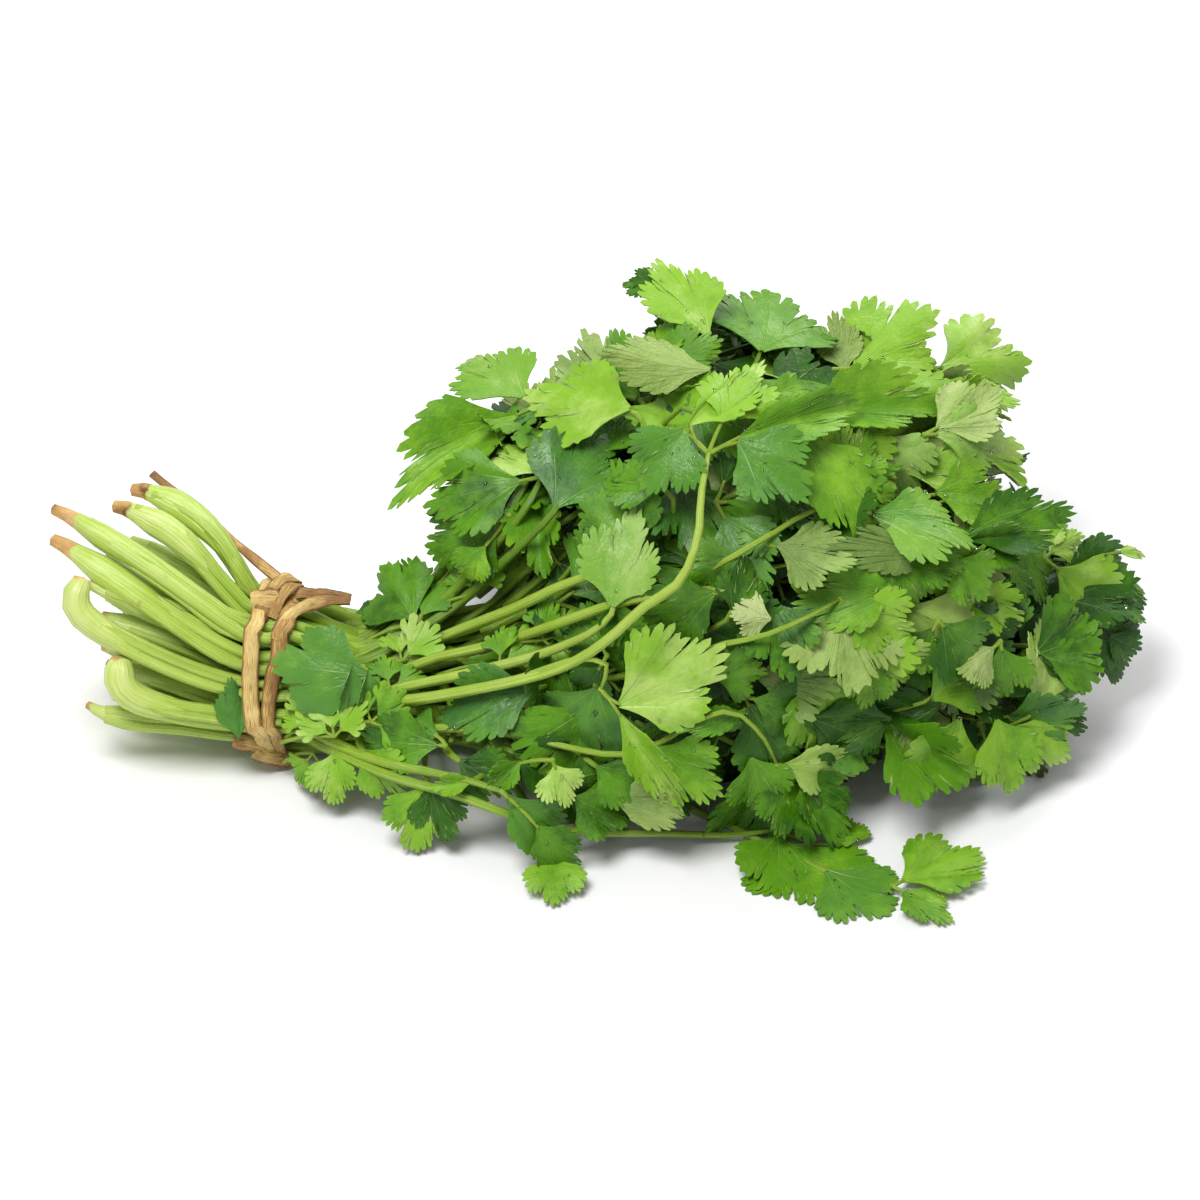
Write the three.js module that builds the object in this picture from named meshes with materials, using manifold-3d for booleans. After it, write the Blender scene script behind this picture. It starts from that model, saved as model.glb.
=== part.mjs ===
// A bunch of fresh coriander lying on a table: stems with their pale root crowns, a straw tie
// wound twice round them, and a fan of lobed leaf sprays. Millimetres, +Z up, table at z = 0.
// +X runs from the cut root ends to the leaf tips. Layout is worked out with x = 0 at the tie,
// and the finished group is moved so that its origin is the middle of its base.
import * as THREE from "three";
import { mergeVertices } from "three/addons/utils/BufferGeometryUtils.js";
import Module from "manifold-3d";

// Stems, packed in rows through the tie
const ROW_COUNTS = [4, 5, 6, 5, 4, 3];
const STEM_PITCH = 7.6;
const STEM_RADIUS = 3.4;
const LOWEST_STEM_Z = 5.1;
const STRAIGHT_HALF = 8;
const STEM_SIDES = 7;
const STATION_STEP = 24;

// Root end
const CROWN_REACH = 56;
const CROWN_REACH_CHANGE = 5;
const CROWN_RADIUS = 4.15;
const ROOT_RADIUS = 1.5;
const CROWN_SPREAD_Y = 1.5;
const CROWN_SPREAD_Z = 1.48;
const CROWN_SHIFT_Y = 12;

// Leaf head: an oval in plan, domed on top
const HEAD_CENTRE = { x: 136, y: 10 };
const HEAD_HALF = { x: 104, y: 98 };
const DOME_DROP = 0.35;
const LEAST_DOME = 0.37;
const STEM_LIFT = 5.6;
const TIP_RADIUS = 1.5;
const DIP_LENGTH = 18;

// One leaf spray is a lobed plate
const LEAF_RAYS = 40;
const LEAF_HALF_THICKNESS = 1.2;
const LEAF_LIFT = 2.2;
const LEAF_DROOP = 3;
const FLAT_LEAF_THICKNESS = 2;
const BASE_SHARE = 0.35;
const END_GAP = 0.5;

// Straw tie
const STRAW_GAP = 0.5;
const STRAW_THICKNESS = 1.2;
const STRAW_WIDTH = 4.6;
const BAND_MIDDLES = [-4, 4];
const BAND_POINTS = 40;
const KNOT_RADIUS = 4.5;
const TAIL_RADIUS = 1.3;

// One broad loose leaf leans on the near side of the stems, beside the tie
const TIE_LEAF_RADIUS = 12;
const TIE_LEAF_PLACE = { x: 21, y: -24.5, z: 41 };
const TIE_LEAF_SLOPE = 52;
const TIE_LEAF_SWING = -14;

// Each tier of the head, from the table up: its height at the middle of the dome, and its sprays
// from the near side to the far side, each as [x, y, radius] of its leafy part
const TIERS = [
  { height: 0, sprays: [[74, -54, 27], [158, -62, 32], [196, 22, 31], [124, 69, 31]] },
  { height: 19, sprays: [[116, -60, 30], [186, -42, 32], [116, 4, 31], [195, 48, 32], [128, 72, 31]] },
  {
    height: 38,
    sprays: [[78, -52, 28], [148, -58, 31], [207, -20, 32], [140, 14, 31], [197, 60, 31], [90, 64, 31]],
  },
  { height: 58, sprays: [[104, -50, 30], [172, -34, 32], [98, 8, 30], [182, 40, 32], [117, 73, 31]] },
  { height: 78, sprays: [[88, -36, 30], [160, -14, 32], [172, 66, 32], [60, 52, 29]] },
  { height: 97, sprays: [[114, -20, 31], [158, 30, 31], [98, 48, 31]] },
];

const stemMaterial = new THREE.MeshStandardMaterial({ color: 0xa9cc5a, roughness: 0.45, metalness: 0 });
const leafMaterial = new THREE.MeshStandardMaterial({
  color: 0x4f8f37,
  roughness: 0.55,
  metalness: 0,
});
const strawMaterial = new THREE.MeshStandardMaterial({
  color: 0xc8924a,
  roughness: 0.7,
  metalness: 0,
});

// Height of a tier's surface above the table at a place in plan
function tierZ(height, x, y) {
  const along = (x - HEAD_CENTRE.x) / HEAD_HALF.x;
  const across = (y - HEAD_CENTRE.y) / HEAD_HALF.y;
  const dome = 1 - DOME_DROP * (along * along + across * across);
  return height * Math.max(dome, LEAST_DOME);
}

// Where every stem passes through the tie, and which spray it carries
function layOutStems() {
  const stems = [];
  ROW_COUNTS.forEach((count, row) => {
    for (let column = 0; column < count; column += 1) {
      const [leafX, leafY, leafRadius] = TIERS[row].sprays[column];
      stems.push({
        row,
        height: TIERS[row].height,
        y: (column - (count - 1) / 2) * STEM_PITCH,
        z: LOWEST_STEM_Z + row * STEM_PITCH * Math.sin(Math.PI / 3),
        leafX,
        leafY,
        leafRadius,
        crownReach: CROWN_REACH + CROWN_REACH_CHANGE * Math.sin(2.4 * stems.length),
      });
    }
  });
  return stems;
}

// Centre line of a stem, from its root tip through the tie to the base of its leaf
class StemLine extends THREE.Curve {
  constructor(stem) {
    super();
    this.stem = stem;
    const toLeaf = new THREE.Vector2(stem.leafX, stem.leafY - stem.y);
    this.heading = toLeaf.angle();
    const baseGap = stem.leafRadius * BASE_SHARE + END_GAP;
    this.baseX = stem.leafX - baseGap * Math.cos(this.heading);
    this.baseY = stem.leafY - baseGap * Math.sin(this.heading);
    this.span = this.baseX + stem.crownReach;
  }

  getPoint(t, target = new THREE.Vector3()) {
    const x = t * this.span - this.stem.crownReach;
    return x < 0 ? this.rootPart(x, target) : this.leafPart(x, target);
  }

  rootPart(x, target) {
    const stem = this.stem;
    const share = Math.max(0, (-x - STRAIGHT_HALF) / (CROWN_REACH - STRAIGHT_HALF));
    const bend = Math.pow(share, 1.2);
    const endY = stem.y * CROWN_SPREAD_Y + CROWN_SHIFT_Y;
    const endZ = LOWEST_STEM_Z + (stem.z - LOWEST_STEM_Z) * CROWN_SPREAD_Z;
    return target.set(x, stem.y + (endY - stem.y) * bend, stem.z + (endZ - stem.z) * bend);
  }

  leafPart(x, target) {
    const stem = this.stem;
    const share = Math.max(0, (x - STRAIGHT_HALF) / (this.baseX - STRAIGHT_HALF));
    const y = stem.y + (this.baseY - stem.y) * Math.pow(share, 1.12);
    const above = tierZ(stem.height, x, y) + STEM_LIFT;
    const risen = THREE.MathUtils.smoothstep(x, STRAIGHT_HALF, 48);
    const free = stem.z + (above - stem.z) * risen;
    const leafZ = stem.row === 0 ? FLAT_LEAF_THICKNESS : tierZ(stem.height, x, y);
    const dipped = THREE.MathUtils.smoothstep(x, this.baseX - DIP_LENGTH, this.baseX);
    return target.set(x, y, free + (leafZ - free) * dipped);
  }
}

// Thickness of a stem at a distance past the tie; negative on the root side
function stemGirth(x, stem) {
  const places = [
    [-stem.crownReach, ROOT_RADIUS * 0.8],
    [-stem.crownReach + 5, ROOT_RADIUS],
    [-stem.crownReach + 9, CROWN_RADIUS * 0.9],
    [-stem.crownReach + 16, CROWN_RADIUS],
    [-STRAIGHT_HALF, STEM_RADIUS],
    [STRAIGHT_HALF, STEM_RADIUS],
    [20, 2.7],
    [36, 2.2],
    [90, 1.8],
    [260, TIP_RADIUS],
  ];
  const next = places.findIndex(([place]) => place > x);
  const [startX, startRadius] = places[next - 1];
  const [endX, endRadius] = places[next];
  return THREE.MathUtils.mapLinear(x, startX, endX, startRadius, endRadius);
}

// A turned body of the stem's girth, laid along its centre line
function makeStemGeometry(stem) {
  const line = new StemLine(stem);
  const crown = stem.crownReach;
  const stations = [-crown, -crown + 5, -crown + 9, -crown + 16, -crown + 32, -STRAIGHT_HALF];
  stations.push(STRAIGHT_HALF, 20, 34);
  const dipStart = line.baseX - DIP_LENGTH;
  const steps = Math.max(1, Math.round((dipStart - 34) / STATION_STEP));
  for (let step = 1; step <= steps; step += 1) {
    stations.push(34 + ((dipStart - 34) * step) / steps);
  }
  stations.push(line.baseX - DIP_LENGTH / 2, line.baseX);
  const profile = stations.map((x) => new THREE.Vector2(stemGirth(x, stem), x));
  profile.unshift(new THREE.Vector2(0, stations[0]));
  profile.push(new THREE.Vector2(0, line.baseX));
  const geometry = new THREE.LatheGeometry(profile, STEM_SIDES);
  const places = geometry.attributes.position;
  const up = new THREE.Vector3(0, 0, 1);
  for (let i = 0; i < places.count; i += 1) {
    const t = (places.getY(i) + crown) / line.span;
    const centre = line.getPoint(t);
    const tangent = line.getTangent(t);
    const side = new THREE.Vector3().crossVectors(tangent, up).normalize();
    const lift = new THREE.Vector3().crossVectors(side, tangent);
    centre.addScaledVector(side, places.getX(i));
    centre.addScaledVector(lift, places.getZ(i));
    places.setXYZ(i, centre.x, centre.y, centre.z);
  }
  return geometry;
}

// Distance from the middle of a spray to its edge: three leaflets with toothed edges
function leafEdge(radius, angle, ray) {
  const leaflets = [[0, 1], [75, 0.9], [-75, 0.9]];
  const shares = leaflets.map(([degrees, share]) => {
    const away = angle - THREE.MathUtils.degToRad(degrees);
    return share * Math.exp(-Math.pow(away / 0.62, 4));
  });
  const tooth = ray % 2 === 0 ? 1 : 0.9;
  return radius * Math.max(BASE_SHARE, tooth * Math.max(...shares));
}

function rayAngle(ray) {
  return (ray / LEAF_RAYS) * 2 * Math.PI - Math.PI;
}

// A spray that lies on the table has a flat underside
function makeFlatLeafGeometry(stem) {
  const outline = [];
  for (let ray = 0; ray < LEAF_RAYS; ray += 1) {
    const edge = leafEdge(stem.leafRadius, rayAngle(ray), ray);
    outline.push(new THREE.Vector2(edge * Math.cos(rayAngle(ray)), edge * Math.sin(rayAngle(ray))));
  }
  return new THREE.ExtrudeGeometry(new THREE.Shape(outline), {
    depth: FLAT_LEAF_THICKNESS,
    bevelEnabled: false,
  });
}

// Any other spray is a thin lens with that outline, draped over its tier
function makeDrapedLeafGeometry(stem, heading) {
  const geometry = new THREE.SphereGeometry(1, LEAF_RAYS, 4);
  const places = geometry.attributes.position;
  const middle = tierZ(stem.height, stem.leafX, stem.leafY);
  for (let i = 0; i < places.count; i += 1) {
    const across = Math.hypot(places.getX(i), places.getZ(i));
    const angle = Math.atan2(-places.getZ(i), places.getX(i));
    const ray = Math.round(((angle + Math.PI) / (2 * Math.PI)) * LEAF_RAYS);
    const edge = leafEdge(stem.leafRadius, rayAngle(ray), ray) * across;
    const x = stem.leafX + edge * Math.cos(heading + angle);
    const y = stem.leafY + edge * Math.sin(heading + angle);
    const drape = tierZ(stem.height, x, y) - middle + LEAF_LIFT - LEAF_DROOP * across * across;
    const z = drape + LEAF_HALF_THICKNESS * places.getY(i);
    places.setXYZ(i, edge * Math.cos(angle), edge * Math.sin(angle), z);
  }
  return geometry;
}

function makeLeaf(stem, name) {
  const heading = new StemLine(stem).heading;
  const onTable = stem.row === 0;
  const geometry = onTable ? makeFlatLeafGeometry(stem) : makeDrapedLeafGeometry(stem, heading);
  const leaf = new THREE.Mesh(geometry, leafMaterial);
  leaf.name = name;
  leaf.position.set(stem.leafX, stem.leafY, tierZ(stem.height, stem.leafX, stem.leafY));
  leaf.rotation.z = heading;
  return leaf;
}

function makeTieLeaf() {
  const geometry = new THREE.SphereGeometry(TIE_LEAF_RADIUS, 20, 4);
  geometry.rotateX(Math.PI / 2);
  geometry.scale(1.1, 0.9, LEAF_HALF_THICKNESS / TIE_LEAF_RADIUS);
  const leaf = new THREE.Mesh(geometry, leafMaterial);
  leaf.name = "tie_leaf";
  leaf.rotation.order = "ZXY";
  leaf.rotation.x = THREE.MathUtils.degToRad(TIE_LEAF_SLOPE);
  leaf.rotation.z = THREE.MathUtils.degToRad(TIE_LEAF_SWING);
  leaf.position.set(TIE_LEAF_PLACE.x, TIE_LEAF_PLACE.y, TIE_LEAF_PLACE.z);
  return leaf;
}

// The hull round all stems at the tie, grown outwards by a clearance
function bundleOutline(stems, clearance) {
  const outline = [];
  for (let i = 0; i < BAND_POINTS; i += 1) {
    const angle = (i / BAND_POINTS) * 2 * Math.PI - Math.PI / 2;
    const [ny, nz] = [Math.cos(angle), Math.sin(angle)];
    const outer = stems.reduce((best, stem) =>
      stem.y * ny + stem.z * nz > best.y * ny + best.z * nz ? stem : best);
    const grown = STEM_RADIUS + clearance;
    outline.push(new THREE.Vector2(outer.y + grown * ny, outer.z + grown * nz));
  }
  return outline;
}

function makeBandGeometry(stems, middleX) {
  const shape = new THREE.Shape(bundleOutline(stems, STRAW_GAP + STRAW_THICKNESS));
  shape.holes.push(new THREE.Path(bundleOutline(stems, STRAW_GAP)));
  const geometry = new THREE.ExtrudeGeometry(shape, { depth: STRAW_WIDTH, bevelEnabled: false });
  geometry.rotateX(Math.PI / 2);
  geometry.rotateZ(Math.PI / 2);
  geometry.translate(middleX - STRAW_WIDTH / 2, 0, 0);
  return geometry;
}

function toSolid(wasm, geometry) {
  const bare = geometry.clone();
  bare.deleteAttribute("normal");
  bare.deleteAttribute("uv");
  const merged = mergeVertices(bare, 1e-4);
  return new wasm.Manifold(new wasm.Mesh({
    numProp: 3,
    vertProperties: new Float32Array(merged.attributes.position.array),
    triVerts: new Uint32Array(merged.index.array),
  }));
}

function toGeometry(solid) {
  const mesh = solid.getMesh();
  const geometry = new THREE.BufferGeometry();
  geometry.setAttribute("position", new THREE.BufferAttribute(mesh.vertProperties, 3));
  geometry.setIndex(new THREE.BufferAttribute(mesh.triVerts, 1));
  geometry.computeVertexNormals();
  return geometry;
}

// Two turns of one straw, the knot that joins them on top, and the straw's free end
async function makeTie(stems) {
  const wasm = await Module();
  wasm.setup();
  const topZ = Math.max(...bundleOutline(stems, STRAW_GAP + STRAW_THICKNESS).map((place) => place.y));
  const knot = new THREE.SphereGeometry(KNOT_RADIUS, 10, 6);
  knot.scale(1.6, 1, 0.7);
  knot.translate(0, 2, topZ + 1);
  const tailPath = new THREE.LineCurve3(
    new THREE.Vector3(0, 3, topZ + 1.5),
    new THREE.Vector3(-31, 40, topZ + 15),
  );
  const tailShape = new THREE.Shape();
  tailShape.absarc(0, 0, TAIL_RADIUS, 0, 2 * Math.PI);
  const tail = new THREE.ExtrudeGeometry(tailShape, { steps: 1, curveSegments: 4, extrudePath: tailPath });
  const parts = BAND_MIDDLES.map((middle) => makeBandGeometry(stems, middle));
  parts.push(knot, tail);
  const solid = parts.map((part) => toSolid(wasm, part)).reduce((joined, part) => joined.add(part));
  const tie = new THREE.Mesh(toGeometry(solid), strawMaterial);
  tie.name = "straw_tie";
  return tie;
}

const stems = layOutStems();
const bunch = new THREE.Group();
stems.forEach((stem, index) => {
  const number = String(index + 1).padStart(2, "0");
  const mesh = new THREE.Mesh(makeStemGeometry(stem), stemMaterial);
  mesh.name = `stem_${number}`;
  bunch.add(mesh, makeLeaf(stem, `leaf_spray_${number}`));
});
bunch.add(makeTieLeaf(), await makeTie(stems));

const size = new THREE.Box3().setFromObject(bunch, true);
const middle = size.getCenter(new THREE.Vector3());
bunch.position.set(-middle.x, -middle.y, -size.min.z);

const group = new THREE.Group();
group.add(bunch);

export default group;
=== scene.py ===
"""A bunch of fresh coriander tied with straw, lying on a pale floor.

Run as a script. Lengths in the layout tables are millimetres, measured from the tie: x runs to the
leaf tips, y to the far side and z up from the floor.
"""

import math
import random

import bpy
import numpy as np
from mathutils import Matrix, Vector


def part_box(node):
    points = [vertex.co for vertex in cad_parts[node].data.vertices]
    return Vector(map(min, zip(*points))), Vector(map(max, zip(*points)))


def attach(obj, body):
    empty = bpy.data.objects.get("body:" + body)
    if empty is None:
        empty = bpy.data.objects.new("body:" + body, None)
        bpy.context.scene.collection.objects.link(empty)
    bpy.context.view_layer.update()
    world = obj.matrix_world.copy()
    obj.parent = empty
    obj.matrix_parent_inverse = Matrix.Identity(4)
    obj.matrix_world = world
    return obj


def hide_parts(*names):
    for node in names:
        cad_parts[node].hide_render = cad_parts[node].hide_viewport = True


bl_info = {
    "name": "Coriander bunch",
    "version": (1, 0, 0),
    "blender": (4, 5, 0),
    "location": "3D View > Sidebar > Coriander",
    "description": "Builds a tied bunch of fresh coriander round its fixed frame",
    "category": "Add Mesh",
}

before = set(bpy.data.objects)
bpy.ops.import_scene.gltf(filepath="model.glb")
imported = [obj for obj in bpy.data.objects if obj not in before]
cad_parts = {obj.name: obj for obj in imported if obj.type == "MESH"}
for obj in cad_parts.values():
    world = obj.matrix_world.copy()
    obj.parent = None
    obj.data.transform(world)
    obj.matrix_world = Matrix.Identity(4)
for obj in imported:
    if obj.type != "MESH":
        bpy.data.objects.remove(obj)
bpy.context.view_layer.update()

MM = 0.001
WELD_GAP = 1e-7
TIE_LOW, TIE_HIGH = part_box("straw_tie")
# The knot reaches 7.2 mm past the middle of the tie, and the two turns reach 24.1 mm to either side
ORIGIN = np.array([TIE_HIGH.x / MM - 7.2, TIE_LOW.y / MM + 24.1, 0.0])

VIEW_ANGLE = math.radians(38)
UP_VIEW = np.array([0.0, math.sin(VIEW_ANGLE), math.cos(VIEW_ANGLE)])
TO_VIEW = np.array([0.0, -math.cos(VIEW_ANGLE), math.sin(VIEW_ANGLE)])

# Camera and lamps, in metres: what the camera looks at, from how far, and how wide it sees there
CAMERA_TARGET = np.array([-0.0005, 0.0064, 0.035])
CAMERA_DISTANCE = 1.6
VIEW_WIDTH = 0.324
SENSOR_WIDTH = 36
LAMPS = {
    # place, width and power
    "key_light": ((-0.30, -0.35, 1.1), 0.6, 13.2),
    "back_light": ((0.45, 0.75, 0.8), 0.6, 7.0),
}
LAMP_TARGET = Vector((0, 0, 0.04))
ROOM_LIGHT = 0.40

# Rows of plants where they pass the tie, from the lowest up, and the stalks of each plant
ROW_COUNTS = [4, 5, 6, 5, 4, 3]
STALKS_EACH = 3
ROW_PITCH = 7.6
LOWEST_PLANT = 5.1

# Top of the leaf head across the bunch: x, near edge, far edge, height
SKIRT = [
    (5, -22, 22, 22), (30, -44, 46, 34), (60, -54, 66, 44), (90, -54, 80, 55), (130, -46, 88, 60),
    (170, -34, 84, 60), (200, -26, 74, 50), (213, -6, 60, 42), (225, 8, 54, 33), (240, 18, 44, 20),
]
MASS = [
    (28, 20, 46, 34), (36, 10, 56, 54), (48, -2, 66, 72), (62, -14, 71, 76), (85, -42, 71, 76),
    (98, -46, 79, 87), (110, -50, 92, 100), (125, -48, 92, 98), (140, -44, 86, 91), (155, -40, 82, 87),
    (170, -34, 81, 87), (184, -30, 72, 78), (192, -28, 62, 66), (198, -24, 50, 52), (206, -16, 45, 46),
    (214, -6, 40, 39), (228, 10, 36, 30), (236, 18, 34, 24),
]
# How square the head's cross-section is: 2 would be an ellipse
HEAD_POWER = 2.7
STALK_STATIONS = 40
CROWN_STATIONS = 20
# The bunch's room: the highest, farthest and rightmost places, and how far past them a tip may bend
CEILING = 106.0
FAR_LIMIT = 104.0
RIGHT_LIMIT = 240.0
ROOM_GIVE = {"up": 5, "far": 6, "right": 5}
# Leaves start to bend along the floor at this height, and stop just above it
FLOOR_BEND = 3.0
FLOOR_GAP = 0.8

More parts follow.
